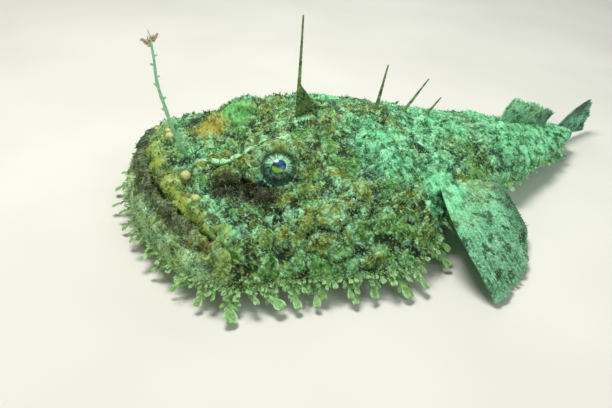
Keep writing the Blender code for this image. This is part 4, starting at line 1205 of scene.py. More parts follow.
def make_fin(name, node, roots, tips, arch, rays, finish, place, wave, seed, split_from=0.45,
             notch=0.05):
    """A fin of soft rays in thin skin: root and tip are functions of the share across.

    The rays fork from one share of their length on. The finished grid of points is kept, so that
    filaments and warts can grow on it.
    """
    share = np.linspace(0.0, 1.0, (rays - 1) * PER_RAY + 1)
    out = np.linspace(0.0, 1.0, FIN_ROWS + 1)[:, None]
    ray = share * (rays - 1)
    nearest = np.round(ray)
    gap = (ray - nearest)[None, :]
    split = np.clip((out - split_from) / (1.0 - split_from), 0.0, 1.0) * 0.20
    ridge = np.maximum(np.exp(-((gap - split) / RAY_SPREAD) ** 2),
                       np.exp(-((gap + split) / RAY_SPREAD) ** 2))
    cells = nearest.astype(int)
    chance = chance_at(np.stack((cells, cells * 0, cells * 0), axis=-1), seed)
    tip_notch = 1.0 - notch * (1.0 - ridge) * out ** 6
    tip_notch = tip_notch * (1.0 - 0.03 * out ** 4 * chance)
    root_points = roots(share)[None, :, :]
    tip_points = tips(share)[None, :, :]
    reach = (out * tip_notch)[..., None]
    middle = root_points + (tip_points - root_points) * reach
    middle = middle + np.array(arch) * np.sin(math.pi * out)[..., None]
    ripple = (np.sin(share * math.pi * 5.0 + 0.7)[None, :] * out ** 1.6
              + 0.7 * relief_noise(middle, RIPPLE_SIZE, seed + 40))
    middle = middle + grid_normals(middle) * (ripple * wave * out)[..., None]
    taper = 1.7 - 1.2 * out
    thickness = (WEB_THICKNESS + RAY_THICKNESS * ridge * 0.85) * taper * 0.9
    thickness = thickness * np.where(out > 0.985, 0.35, 1.0)
    placed = place(middle)
    placed[..., 2] = np.maximum(placed[..., 2], FIN_CLEARANCE)
    FIN_GRIDS[name] = placed
    thin_grid(name, placed, thickness, finish, (node,),
              {"ridge": ridge * np.ones_like(out), "outward": out * np.ones_like(ridge),
               "across": share * np.ones_like(out)})


PECTORAL_TOP_ROOT = np.array((0.398, 0.112, 0.084))
PECTORAL_LOW_ROOT = np.array((0.503, 0.080, 0.066))
PECTORAL_HUB = (0.405, 0.125)
PECTORAL_ANGLES = (math.radians(-5.0), math.radians(70.0))
PECTORAL_REACHES = (0.168, 0.122)
PECTORAL_RAYS = 24
PECTORAL_COLUMNS = (PECTORAL_RAYS - 1) * PER_RAY + 1
LEADING_BOW = np.array((-0.016, 0.004, 0.006))


def make_pectoral(side, word):
    """The broad fan behind the gill opening, laid out and down to the floor."""
    flip = np.array((1.0, side, 1.0))

    def roots(share):
        return between(PECTORAL_TOP_ROOT, PECTORAL_LOW_ROOT, share[:, None]) * flip

    def tips(share):
        angle = between(*PECTORAL_ANGLES, share)
        reach = between(*PECTORAL_REACHES, 1.0 - (1.0 - share) ** 2)
        x = PECTORAL_HUB[0] + reach * np.sin(angle)
        y = side * (PECTORAL_HUB[1] + reach * np.cos(angle))
        return np.stack((x, y, 0.006 + 0.018 * share * share), axis=-1)

    share = np.linspace(0.0, 1.0, PECTORAL_COLUMNS)[:, None]
    arch = np.array((-0.010, 0.010, 0.015)) + LEADING_BOW * np.exp(-(share / 0.30) ** 2)
    make_fin("pectoral_" + word, "pectoral_fin_" + word, roots, tips, arch * flip,
             PECTORAL_RAYS, PECTORAL, lambda points: turned_with(0.42, points), wave=0.0024,
             seed=3 + side)


for side, word in ((-1, "left"), (1, "right")):
    make_pectoral(side, word)


# Where the small fins begin and end, and how deep fins and spines are rooted in the body
DORSAL_SPAN = (0.588, 0.712)
ANAL_SPAN = (0.610, 0.720)
PELVIC_SPAN = (0.245, 0.273)
ROOT_DEPTH = 0.006


def dorsal_roots(share):
    x = between(*DORSAL_SPAN, share)
    return np.stack((x, x * 0.0, top_height(x, x * 0.0) - ROOT_DEPTH), axis=-1)


def dorsal_tips(share):
    x = between(*DORSAL_SPAN, share)
    height = top_height(x, x * 0.0) + between(0.042, 0.024, share * share)
    return np.stack((x + 0.026, x * 0.0, height), axis=-1)


make_fin("dorsal_rays", "dorsal_fin", dorsal_roots, dorsal_tips, (0.0, 0.004, 0.0), 12, SOFT_FIN,
         bent, wave=0.0022, seed=7, notch=0.10)


def anal_roots(share):
    x = between(*ANAL_SPAN, share)
    return np.stack((x, x * 0.0 - 0.006, under_height(x, x * 0.0) + 0.003), axis=-1)


def anal_tips(share):
    x = between(*ANAL_SPAN, share)
    return np.stack((x + 0.034, x * 0.0 - 0.040, x * 0.0 + 0.0035), axis=-1)


make_fin("anal_rays", "anal_fin", anal_roots, anal_tips, (0.0, 0.0, -0.001), 9, SOFT_FIN,
         bent, wave=0.0008, seed=9, notch=0.10)


def caudal_roots(share):
    return np.stack((share * 0.0 + TAIL_ROOT - 0.004, share * 0.0,
                     between(0.023, 0.045, share)), axis=-1)


def caudal_tips(share):
    from_middle = 2.0 * share - 1.0
    x = TOTAL_LENGTH - 0.006 - 0.014 * from_middle ** 2
    return np.stack((x, share * 0.0, between(0.004, 0.072, share)), axis=-1)


make_fin("caudal_rays", "caudal_fin", caudal_roots, caudal_tips, (0.0, 0.006, 0.0), 8, TAIL_FIN,
         bent, wave=0.0020, seed=11, notch=0.06)

for side, word in ((-1, "left"), (1, "right")):
    def pelvic_roots(share, side=side):
        return np.stack((between(*PELVIC_SPAN, share), share * 0.0 + side * 0.078,
                         share * 0.0 + 0.0045), axis=-1)

    def pelvic_tips(share, side=side):
        x = between(*PELVIC_SPAN, share) + 0.020 * share
        return np.stack((x, side * (0.138 - 0.016 * share), share * 0.0 + 0.0032), axis=-1)

    make_fin("pelvic_" + word, "pelvic_fin_" + word, pelvic_roots, pelvic_tips,
             (0.0, 0.0, 0.0), 5, SOFT_FIN, bent, wave=0.0003, seed=13, notch=0.08,
             split_from=0.8)


def tube(path, radii, sides):
    """Rings of points round a path, with its closed ends."""
    path = np.asarray(path)
    ring_points = []
    side_way = np.array((0.0, 1.0, 0.0))
    along = np.gradient(path, axis=0)
    for index, point in enumerate(path):
        way = along[index] / np.linalg.norm(along[index])
        side_way = side_way - way * (side_way @ way)
        side_way /= np.linalg.norm(side_way)
        other = np.cross(way, side_way)
        for corner in range(sides):
            turn = 2.0 * math.pi * corner / sides
            spoke = side_way * math.cos(turn) + other * math.sin(turn)
            ring_points.append(point + spoke * radii[index])
    faces = []
    for index in range(len(path) - 1):
        for corner in range(sides):
            a = index * sides + corner
            b = index * sides + (corner + 1) % sides
            faces.append((a, b, b + sides, a + sides))
    faces.append(tuple(range(sides)))
    last = (len(path) - 1) * sides
    faces.append(tuple(last + corner for corner in range(sides)))
    return np.array(ring_points), faces


ROD_SIDES = 10
ROD_STEPS = 48
ROD_STATION = 0.083
ROD_REACH = 0.043
ROD_SIDEWAYS = 0.006
ROD_HEIGHT = 0.178
ROD_RADIUS = 0.0024


def make_rod(name, node, path, radii, finish):
    """A round spine along a path."""
    points, faces = tube(path, radii, ROD_SIDES)
    share = np.repeat(np.linspace(0.0, 1.0, len(path)), ROD_SIDES)
    finished(name, points, faces, finish, (node,),
             {"outward": 0.5 + share * 0.5, "ridge": share * 0.0 + 0.6, "across": share * 0.0})


def make_lure():
    """The first spine, the fishing rod, whose path after the bend is given back."""
    share = np.linspace(0.0, 1.0, ROD_STEPS)
    base = np.array((ROD_STATION, 0.0, float(top_height(ROD_STATION, 0.0)) - ROOT_DEPTH))
    path = base + np.stack((-ROD_REACH * share * (2.0 - share), -ROD_SIDEWAYS * share,
                            ROD_HEIGHT * share), axis=-1)
    path[:, 0] += 0.0010 * np.sin(share * 17.0) * share
    radii = ROD_RADIUS * (1.35 - 0.80 * share) * (1.0 + 0.10 * np.sin(share * 60.0))
    path = bent(path)
    make_rod("fishing_rod", "illicium", path, radii, ROD)
    return path


def make_second_spine():
    """The second spine, laid back over the snout and above the left eye, with its pale web."""
    share = np.linspace(0.0, 1.0, ROD_STEPS)
    x = 0.086 + 0.122 * share
    y = -0.014 - 0.046 * (1.0 - np.exp(-share / 0.10)) - 0.004 * np.sin(share * 6.0)
    level = np.convolve(np.pad(hide_height(x, y), 3, mode="edge"), np.ones(7) / 7.0, "valid")
    level = level + 0.0022 - 0.010 * np.exp(-(share / 0.03) ** 2)
    path = bent(np.stack((x, y, level), axis=-1))
    make_rod("laid_back_spine", "dorsal_spine_2", path, 0.0013 * (1.3 - 0.6 * share), SPINE)

    # The web lies on the skin between the spine and the midline
    across = np.linspace(0.0, 1.0, 9)[None, :]
    wide = 0.017 * np.sin(math.pi * share ** 1.5) ** 0.8 * (1.0 + 0.25 * np.sin(share * 21.0))
    web_x = x[:, None] + across * 0.004
    web_y = y[:, None] + across * wide[:, None]
    ground = hide_height(web_x, web_y) + 0.0008
    web_z = np.maximum(level[:, None] * (1.0 - across) + ground * across - 0.0006,
                       ground * np.clip(across * 4.0, 0.0, 1.0))
    middle = bent(np.stack((web_x, web_y, web_z), axis=-1))
    ones = np.ones(middle.shape[:2])
    thin_grid("laid_back_web", middle, ones * 0.0009, WEB, (),
              {"outward": (0.3 + 0.7 * across) * ones, "rim": (across > 0.8) * ones})


SPINE_ROWS = 46
SPINE_COLUMNS = 17


def make_upright_spine(name, base_x, length, lean, sail_length, sail_height):
    """An upright spine with a low sail of skin behind its root."""
    share = np.linspace(0.0, 1.0, SPINE_ROWS)[:, None]
    across = np.linspace(0.0, 1.0, SPINE_COLUMNS)[None, :]
    base_z = float(top_height(base_x, 0.0)) - ROOT_DEPTH
    sail = np.clip(1.0 - share * length / sail_height, 0.0, 1.0) ** 0.9
    radius = 0.0026 * (1.25 - 0.85 * share)
    front_x = base_x + lean * share * length - radius
    reach = 2.0 * radius + sail_length * sail
    x = front_x + across * reach
    ground = top_height(x, x * 0.0) - ROOT_DEPTH
    z = base_z + share * length
    z = np.maximum(z + (ground - base_z) * np.clip(across * sail, 0.0, 1.0), ground)
    from_axis = (x - front_x - radius) / radius
    rod_half = np.sqrt(np.clip(1.0 - from_axis ** 2, 0.0, 1.0)) * radius
    thickness = 2.0 * np.maximum(rod_half, 0.00045 * np.clip(reach / 0.004, 0.3, 1.0))
    middle = bent(np.stack((x, x * 0.0, z), axis=-1))
    thin_grid(name, middle, thickness, SPINE, (name,),
              {"ridge": np.clip(rod_half / radius, 0.0, 1.0),
               "outward": share * 0.9 * np.ones_like(x), "across": across * np.zeros_like(x)})


lure_path = make_lure()
make_second_spine()

# Upright spines: name, station of the root, length, lean, length and height of the sail
for spine in (("dorsal_spine_3", 0.232, 0.150, 0.0, 0.036, 0.056),
              ("dorsal_spine_4", 0.350, 0.078, 0.16, 0.024, 0.014),
              ("dorsal_spine_5", 0.390, 0.058, 0.72, 0.020, 0.012),
              ("dorsal_spine_6", 0.430, 0.034, 0.85, 0.015, 0.008)):
    make_upright_spine(*spine)


# Nostrils: a tall ball on a stalk and a lower one behind it, on each side of the snout,
# as (name, x, y, height, radius of the stalk, radius of the ball)
NOSTRILS = (("front", 0.064, 0.054, 0.017, 0.0042, 0.0066),
            ("rear", 0.068, 0.094, 0.010, 0.0050, 0.0056))
NOSTRIL_RINGS = 18
NOSTRIL_SIDES = 12
for side, word in ((-1, "left"), (1, "right")):
    for place_word, x, y, height, stalk, ball in NOSTRILS:
        share = np.linspace(0.0, 1.0, NOSTRIL_RINGS)
        base = bent((x, side * y, float(top_height(x, y)) - 0.004))
        path = base + np.stack((share * 0.002, share * side * 0.003, share * (height + 0.004)), -1)
        swell = np.sqrt(np.clip(1.0 - ((share - 0.72) / 0.30) ** 2, 0.0, 1.0)) * ball
        radii = np.maximum(swell, stalk * (1.0 - share) ** 0.3 * (share < 0.7) + 0.0004)
        points, faces = tube(path, radii, NOSTRIL_SIDES)
        finished("nostril_%s_%s" % (place_word, word), points, faces, NOSTRIL, (),
                 {"outward": np.repeat(share, NOSTRIL_SIDES),
                  "rim": np.repeat(share * 0.0, NOSTRIL_SIDES)})


# Skin flaps, tufts and papillae: small forms set on roots by one Geometry Nodes tree

def blade(parts, start, way, length, widths, thickness, curl, rows, shade, sweep=0.0):
    """One flat leaflet as a closed four-sided tube; curl bends it off its flat, sweep in it.

    Forms are one unit long, and shade is how far outwards its root and its tip are coloured.
    """
    vertices, faces, outward, rim = parts
    first = len(vertices)
    way = unit(np.array(way, dtype=float))
    place = np.array(start, dtype=float)
    shares = np.linspace(0.0, 1.0, rows)
    wide = np.interp(shares, np.linspace(0.0, 1.0, len(widths)), widths)
    for share, width in zip(shares, wide):
        now = unit(way + np.array((0.0, curl * share, sweep * share)))
        if share > 0.0:
            place = place + now * length / (rows - 1)
        side = unit(np.array((now[2], 0.0, -now[0])))
        rim_way = side * width / 2.0
        flat_way = np.array((0.0, thickness * (1.0 - 0.6 * share) / 2.0, 0.0))
        for offset, on_rim in ((rim_way, 1.0), (flat_way, 0.0), (-rim_way, 1.0),
                               (-flat_way, 0.0)):
            vertices.append(place + offset)
            outward.append(shade[0] + (shade[1] - shade[0]) * share)
            rim.append(on_rim)
    for row in range(rows - 1):
        for corner in range(4):
            a = first + row * 4 + corner
            b = first + row * 4 + (corner + 1) % 4
            faces.append((a, b, b + 4, a + 4))
    faces.append((first + 3, first + 2, first + 1, first))
    last = first + (rows - 1) * 4
    faces.append((last, last + 1, last + 2, last + 3))


def form_object(name, parts, collection):
    """A small form that the tree sets on many roots, with its own unit patch of unwrap."""
    vertices, faces, outward, rim = parts
    mesh = bpy.data.meshes.new(name)
    mesh.from_pydata([tuple(vertex) for vertex in vertices], [], faces)
    give_values(mesh, {"outward": outward, "rim": rim})
    for edge in mesh.edges:
        edge.use_edge_sharp = rim[edge.vertices[0]] > 0.5 and rim[edge.vertices[1]] > 0.5
    flat = np.array([(vertex[0] + 0.5, vertex[2]) for vertex in vertices])
    corners = np.zeros(len(mesh.loops), dtype=np.int32)
    mesh.loops.foreach_get("vertex_index", corners)
    unwrap = mesh.uv_layers.new(name="patch")
    unwrap.data.foreach_set("uv", np.clip(flat[corners], 0.0, 1.0).astype(np.float32).ravel())
    collection.objects.link(bpy.data.objects.new(name, mesh))


def lappet_form(number, pairs, spoon, rows, collection):
    """A branched lappet: stalk, comb of curved forked leaflets and a long round-ended spoon."""
    chance = np.random.default_rng(100 + number)
    parts = ([], [], [], [])
    blade(parts, (0.0, 0.0, -0.05), (0.0, 0.0, 1.0), 0.62, (0.18, 0.14, 0.10, 0.09), 0.06, -0.10,
          5, (0.0, 0.6))
    for pair in range(pairs):
        height = 0.02 + 0.46 * pair / max(pairs - 1, 1)
        for side in (-1, 1):
            length = chance.uniform(0.26, 0.44) * (1.0 - 0.35 * pair / pairs)
            start = np.array((0.0, -0.04 * height, height + chance.uniform(-0.03, 0.03)))
            way = unit(np.array((side, chance.uniform(-0.5, 0.5), chance.uniform(0.0, 0.7))))
            blade(parts, start, way, length, (0.045, 0.055, 0.07, 0.10, 0.10, 0.045), 0.024,
                  chance.uniform(-0.5, 0.4), rows, (0.30, 0.95), chance.uniform(0.6, 1.6))
            if rows > 4 and chance.uniform() < 0.6:
                blade(parts, start + way * length * 0.35,
                      (side * 0.1, chance.uniform(-0.4, 0.4), 1.0), length * 0.50,
                      (0.04, 0.06, 0.085, 0.04), 0.02, -0.1, 4, (0.50, 1.0), 0.3)
    width = spoon * chance.uniform(0.9, 1.1)
    blade(parts, (0.0, -0.03, 0.40), (chance.uniform(-0.30, 0.30), -0.08, 1.0), 0.60,
          (0.08, 0.10, 0.28 * width, 0.50 * width, 0.78 * width, 0.96 * width, width,
           0.90 * width, 0.52 * width),
          0.035, -0.14, rows + 4, (0.40, 1.0), chance.uniform(-0.25, 0.25))
    form_object("lappet_%d" % number, parts, collection)


def tuft_form(name, seed, count, spread, width, collection):
    """A low tuft of ragged leaflets or fine filaments, as on the head and back."""
    chance = np.random.default_rng(seed)
    parts = ([], [], [], [])
    for leaf in range(count):
        turn = 2.0 * math.pi * leaf / count + chance.uniform(-0.4, 0.4)
        lean = chance.uniform(*spread)
        way = (math.cos(turn) * lean, math.sin(turn) * lean, 1.0)
        blade(parts, (0.0, 0.0, -0.12), way, chance.uniform(0.55, 1.0),
              (width * 0.8, width, width * 0.8, width * 0.2), width * 0.4,
              chance.uniform(-0.5, 0.5), 4, (0.0, 1.0), chance.uniform(-0.4, 0.2))
    form_object(name, parts, collection)


def paddle_form(number, width, filaments, collection):
    """An oval flap of the rod, on some with filaments at its side."""
    chance = np.random.default_rng(500 + number)
    parts = ([], [], [], [])
    blade(parts, (0.0, 0.0, -0.10), (0.0, 0.0, 1.0), 1.1,
          (0.12, 0.4 * width, 0.8 * width, width, 0.9 * width, 0.35 * width), 0.10, 0.25, 9,
          (0.4, 1.0), 0.2)
    for filament in range(filaments):
        blade(parts, (0.0, 0.0, 0.1 + 0.6 * filament / filaments),
              (chance.uniform(-1.0, 1.0), chance.uniform(-0.6, 0.6), 0.9),
              chance.uniform(0.4, 0.7), (0.09, 0.08, 0.05), 0.05, 0.2, 4, (0.5, 1.0))
    form_object("paddle_%d" % number, parts, collection)


def papilla_form(number, sides, lean, collection):
    """A single small pointed wart."""
    parts = ([], [], [], [])
    vertices, faces, outward, rim = parts
    for height, radius in ((-0.25, 0.34), (0.22, 0.24), (0.65, 0.13)):
        for corner in range(sides):
            turn = 2.0 * math.pi * corner / sides
            vertices.append((radius * math.cos(turn) + lean * height * height,
                             radius * math.sin(turn), height))
            outward.append(max(height, 0.0))
            rim.append(0.0)
    vertices.append((lean, 0.0, 1.0))
    outward.append(1.0)
    rim.append(0.0)
    for ring in range(2):
        for corner in range(sides):
            a = ring * sides + corner
            b = ring * sides + (corner + 1) % sides
            faces.append((a, b, b + sides, a + sides))
    for corner in range(sides):
        faces.append((2 * sides + corner, 2 * sides + (corner + 1) % sides, 3 * sides))
    faces.append(tuple(range(sides - 1, -1, -1)))
    form_object("papilla_%d" % number, parts, collection)


def placing_tree():
    """The Geometry Nodes tree that sets forms on roots and carries the roots' unwrap along."""
    tree, given = new_tree("Set forms on the hide",
                           (("Roots", "Geometry"), ("Forms", "Collection"), ("Size", "Float"),
                            ("Size Variation", "Float"), ("Seed", "Int"),
                            ("Patch Width", "Float"), ("Finish", "Material")))
    forms = add(tree, "GeometryNodeCollectionInfo",
                {"Collection": given["Forms"], "Separate Children": True, "Reset Children": True})
    grow, lie, root_place, patch = [
        add(tree, "GeometryNodeInputNamedAttribute", {"Name": name}, data_type="FLOAT_VECTOR")
        for name in ("grow", "lie", "root_place", "patch")]
    reach = add(tree, "GeometryNodeInputNamedAttribute", {"Name": "reach"}, data_type="FLOAT")
    form = add(tree, "GeometryNodeInputNamedAttribute", {"Name": "form"}, data_type="INT")
    upright = add(tree, "FunctionNodeAlignRotationToVector", {"Vector": grow}, axis="Z")
    turned = add(tree, "FunctionNodeAlignRotationToVector", {"Rotation": upright, "Vector": lie},
                 axis="X", pivot_axis="Z")
    low, high = [add(tree, "ShaderNodeMath", {0: 1.0, 1: given["Size Variation"]},
                     operation=way) for way in ("SUBTRACT", "ADD")]
    scale = add(tree, "FunctionNodeRandomValue", {2: low, 3: high, "Seed": given["Seed"]}, 1,
                data_type="FLOAT")
    for factor in (given["Size"], reach):
        scale = add(tree, "ShaderNodeMath", {0: scale, 1: factor}, operation="MULTIPLY")
    placed = add(tree, "GeometryNodeInstanceOnPoints",
                 {"Points": given["Roots"], "Instance": forms, "Pick Instance": True,
                  "Instance Index": form, "Rotation": turned, "Scale": scale})
    real = add(tree, "GeometryNodeRealizeInstances", {0: placed})
    small = add(tree, "ShaderNodeVectorMath", {0: patch, 3: given["Patch Width"]},
                operation="SCALE")
    spot = add(tree, "ShaderNodeVectorMath", {0: root_place, 1: small}, operation="ADD")
    stored = add(tree, "GeometryNodeStoreNamedAttribute",
                 {"Geometry": real, "Name": "OFBake", "Value": spot},
                 data_type="FLOAT2", domain="CORNER")
    smooth = add(tree, "GeometryNodeSetShadeSmooth", {0: stored})
    dressed = add(tree, "GeometryNodeSetMaterial",
                  {"Geometry": smooth, "Material": given["Finish"]})
    add(tree, "NodeGroupOutput", {0: dressed})
    return tree


PLACING = placing_tree()
PATCH_WIDTH = 0.003


def set_forms(name, roots, collection, variation, seed, finish):
    """Grow one piece: forms of a collection on roots, as a plain mesh."""
    mesh = bpy.data.meshes.new(name + "_roots")
    mesh.from_pydata(roots["place"].tolist(), [], [])
    give_values(mesh, {key: value for key, value in roots.items() if key != "place"})
    grown = through(name, mesh, PLACING,
                    {"Forms": collection, "Size": 1.0, "Size Variation": variation,
                     "Seed": seed, "Patch Width": PATCH_WIDTH, "Finish": finish})
    for key in ("patch", "root_place", "grow", "lie", "reach", "form"):
        if key in grown.attributes:
            grown.attributes.remove(grown.attributes[key])
    shown(grown)


def roots_of(place, grow, lie, reach, form, unwrap, mouth):
    """Everything the tree needs to know about a set of roots."""
    return {"place": place, "grow": grow, "lie": lie, "reach": reach, "form": form,
            "root_place": np.pad(unwrap, ((0, 0), (0, 1))), "mouth": mouth}


# Where the fringe ends, as a share of the hide's rows, and its size at stations along the body
FRINGE_END = 0.93
FRINGE_STATIONS = (-0.01, 0.03, 0.10, 0.36, 0.44, 0.60, 0.74)
FRINGE_SIZES = (0.62, 0.72, 1.0, 1.0, 0.60, 0.55, 0.42)


def margin_roots(spacing, seed, reach, forms, droop, lift, offset):
    """Roots along the fish's margin: up one side, round the jaw and down the other."""
    chance = np.random.default_rng(seed)
    end_row = int(ROWS * FRINGE_END)
    left = TOP[end_row:0:-1, 0]
    front = TOP[0]
    right = TOP[1:end_row, -1]
    line = np.concatenate((left, front, right))
    unwrap = np.concatenate((TOP_UNWRAP[end_row:0:-1, 0], TOP_UNWRAP[0],
                             TOP_UNWRAP[1:end_row, -1]))
    mouth = np.concatenate((MOUTH[end_row:0:-1, 0], MOUTH[0], MOUTH[1:end_row, -1]))
    along = unit(np.gradient(line, axis=0))
    outward = unit(np.stack((-along[:, 1], along[:, 0], along[:, 0] * 0.0), -1))
    inside = np.array((-0.1, 0.0, 0.0))
    if np.sum(outward * (line - inside)) < 0.0:
        outward = -outward
    travelled = np.concatenate(((0.0,), np.cumsum(np.linalg.norm(np.diff(line, axis=0), axis=-1))))
    count = int(travelled[-1] / spacing)
    wanted = (np.arange(count) + offset + chance.uniform(-0.28, 0.28, count)) * spacing
    wanted = np.clip(wanted, 0.0, travelled[-1] * 0.999)
    index = np.searchsorted(travelled, wanted).clip(0, len(line) - 1)
    sizes = chance.uniform(*reach, count)
    body_x = line[index, 0] + MIDDLE[0]
    sizes = sizes * np.interp(body_x, FRINGE_STATIONS, FRINGE_SIZES)
    height = line[index, 2]
    dip = chance.uniform(*droop, count)
    steepest = np.arcsin(np.clip((height - 0.005) / sizes, 0.02, 0.95))
    dip = np.minimum(dip, steepest)
    grow = (outward[index] * np.cos(dip)[:, None]
            + np.array((0.0, 0.0, -1.0)) * np.sin(dip)[:, None]
            + along[index] * chance.uniform(-0.55, 0.55, count)[:, None])
    places = line[index] - outward[index] * 0.003 + np.array((0.0, 0.0, lift))
    upward = np.cross(outward[index], along[index]) * chance.uniform(-0.6, 0.6, count)[:, None]
    return roots_of(places, unit(grow), unit(along[index] + upward), sizes,
                    chance.integers(0, forms, count), unwrap[index], mouth[index])


def hide_roots(count, seed, reach, forms, lean, keep):
    """Roots spread evenly over the upper side where keep, a function of place, allows them."""
    chance = np.random.default_rng(seed)
    edge_a = TOP[1:, :-1] - TOP[:-1, :-1]
    edge_b = TOP[:-1, 1:] - TOP[:-1, :-1]
    area = np.linalg.norm(np.cross(edge_a, edge_b), axis=-1)
    weight = area * keep(top_grid[:-1, :-1], PAD_EDGE[:-1, :-1])
    chosen = chance.choice(weight.size, size=count, p=weight.ravel() / weight.sum())
    row, column = np.unravel_index(chosen, weight.shape)
    u = chance.uniform(0.0, 1.0, count)[:, None]
    v = chance.uniform(0.0, 1.0, count)[:, None]
    places = TOP[row, column] + edge_a[row, column] * u + edge_b[row, column] * v
    normal = TOP_NORMALS[row, column]
    back = TOP_BACKWARDS[row, column]
    sideways = np.cross(normal, back)
    swing = chance.uniform(-1.2, 1.2, count)[:, None]
    grow = unit(normal + (back + sideways * swing) * chance.uniform(*lean, count)[:, None])
    lie = unit(back * np.cos(swing * 3.0) + sideways * np.sin(swing * 3.0))
    sizes = chance.uniform(*reach, count)
    return roots_of(places, grow, lie, sizes, chance.integers(0, forms, count),
                    TOP_UNWRAP[row, column], MOUTH[row, column])


def away_from_eyes(points):
    """1 where a point of the unbent surface is clear of both eyes, else 0."""
    allowed = np.ones(points.shape[:-1])
    for side in (-1, 1):
        allowed = allowed * (np.linalg.norm(points - eye_centre(side), axis=-1)
                             > EYE_CLEARANCE)
    return allowed


def named_roots(spots, reach, seed, lean=0.0):
    """Roots at named places in plan, before the bend."""
    chance = np.random.default_rng(seed)
    cells = [np.unravel_index(np.argmin((top_grid[..., 0] - x) ** 2 + (top_grid[..., 1] - y) ** 2),
                              top_grid.shape[:2]) for x, y in spots]
    row, column = np.array(cells).T
    count = len(spots)
    normal = TOP_NORMALS[row, column]
    back = TOP_BACKWARDS[row, column]
    return roots_of(TOP[row, column], unit(normal + back * lean), unit(back),
                    chance.uniform(*reach, count), np.arange(count) % 2,
                    TOP_UNWRAP[row, column], MOUTH[row, column])


def coat_density(unbent, edge):
    """Where warts grow: everywhere but the eyes and the mouth slit, unevenly."""
    slit = np.abs(mouth_distance(unbent[..., 0], unbent[..., 1])) > 0.003
    patchy = 0.35 + np.clip(relief_noise(unbent, 0.035, 71, 2) + 0.5, 0.0, 1.2)
    return away_from_eyes(unbent) * slit * patchy * np.clip((edge + 0.02) / 0.08, 0.1, 1.0)


def rim_density(low, high):
    """Where tufts grow between two stations: mostly along the rims of the pads."""
    def density(unbent, edge):
        x = unbent[..., 0]
        rim = np.clip((0.22 - edge) / 0.10, 0.0, 1.0) * np.clip((edge - 0.02) / 0.05, 0.05, 1.0)
        jaw = np.where(mouth_distance(x, unbent[..., 1]) < 0.0, 0.35, 1.0)
        return coat_density(unbent, edge) * (0.03 + rim) * jaw * (x >= low) * (x < high)
    return density


def fin_roots(name, count, seed, reach, forms, rim_share):
    """Roots on the upper face of a fin, and a share of them along its outer edge."""
    chance = np.random.default_rng(seed)
    grid = FIN_GRIDS[name]
    rows, columns = grid.shape[:2]
    row = chance.integers(int(rows * 0.15), rows - 2, count)
    column = chance.integers(1, columns - 2, count)
    on_rim = chance.uniform(0.0, 1.0, count) < rim_share
    row = np.where(on_rim, rows - 2, row)
    normal = upward_normals(grid)[row, column]
    outward = unit(np.gradient(grid, axis=0))[row, column]
    grow = unit(normal * np.where(on_rim, 0.3, 1.0)[:, None]
                + outward * chance.uniform(0.3, 1.2, count)[:, None])
    return roots_of(grid[row, column], grow, outward, chance.uniform(*reach, count),
                    chance.integers(0, forms, count), np.full((count, 2), 0.5), np.ones(count))


# Large lappets: how many pairs of leaflets, and the width of the spoon at the end
LAPPETS = ((6, 0.36), (5, 0.26), (5, 0.40), (6, 0.30), (4, 0.34), (5, 0.22))
LAPPET_ROWS = 6
LEAFLET_PAIRS = 3
LEAFLET_ROWS = 4

# Places in plan before the bend
STAR_WARTS = ((0.121, -0.140), (0.250, -0.160), (0.228, -0.175), (0.222, -0.195),
              (0.255, -0.088), (0.310, -0.150), (0.128, 0.120), (0.245, 0.150),
              (0.014, -0.058), (0.022, -0.070), (0.051, -0.160))
DARK_KNOBS = ((0.345, -0.036), (0.450, -0.018), (0.300, -0.068), (0.380, -0.056),
              (0.330, 0.060), (0.410, 0.048), (0.270, 0.110))

# Parts of the coat: name, first and last station, how many tufts and how many filaments
COAT_PARTS = (("face", -0.1, 0.15, 1100, 600), ("crown", 0.15, 0.27, 1000, 700),
              ("nape", 0.27, 0.42, 1000, 700), ("back", 0.42, 0.9, 1000, 700))

# Collections outside the scene that hold the small forms while they are used
shelves = {name: bpy.data.collections.new(name)
           for name in ("lappets", "leaflets", "tufts", "spikes", "papillae", "stars", "paddles")}
for number, (pairs, spoon) in enumerate(LAPPETS):
    lappet_form(number, pairs, spoon, LAPPET_ROWS, shelves["lappets"])
    lappet_form(number + len(LAPPETS), LEAFLET_PAIRS, spoon * 0.9, LEAFLET_ROWS,
                shelves["leaflets"])
for number, count in enumerate((4, 5, 3, 5, 4)):
    tuft_form("tuft_%d" % number, 200 + number, count, (0.3, 1.0), 0.22, shelves["tufts"])
for number, count in enumerate((2, 3, 3, 1)):
    tuft_form("spike_%d" % number, 300 + number, count, (0.1, 0.8), 0.11, shelves["spikes"])
for number, (width, filaments) in enumerate(((0.50, 1), (0.60, 6), (0.40, 3))):
    paddle_form(number, width, filaments, shelves["paddles"])
for number in range(3):
    papilla_form(number, 5, (0.15, 0.35, 0.0)[number], shelves["papillae"])
for number in range(2):
    tuft_form("star_%d" % number, 400 + number, 7 + number, (1.3, 2.6), 0.30, shelves["stars"])

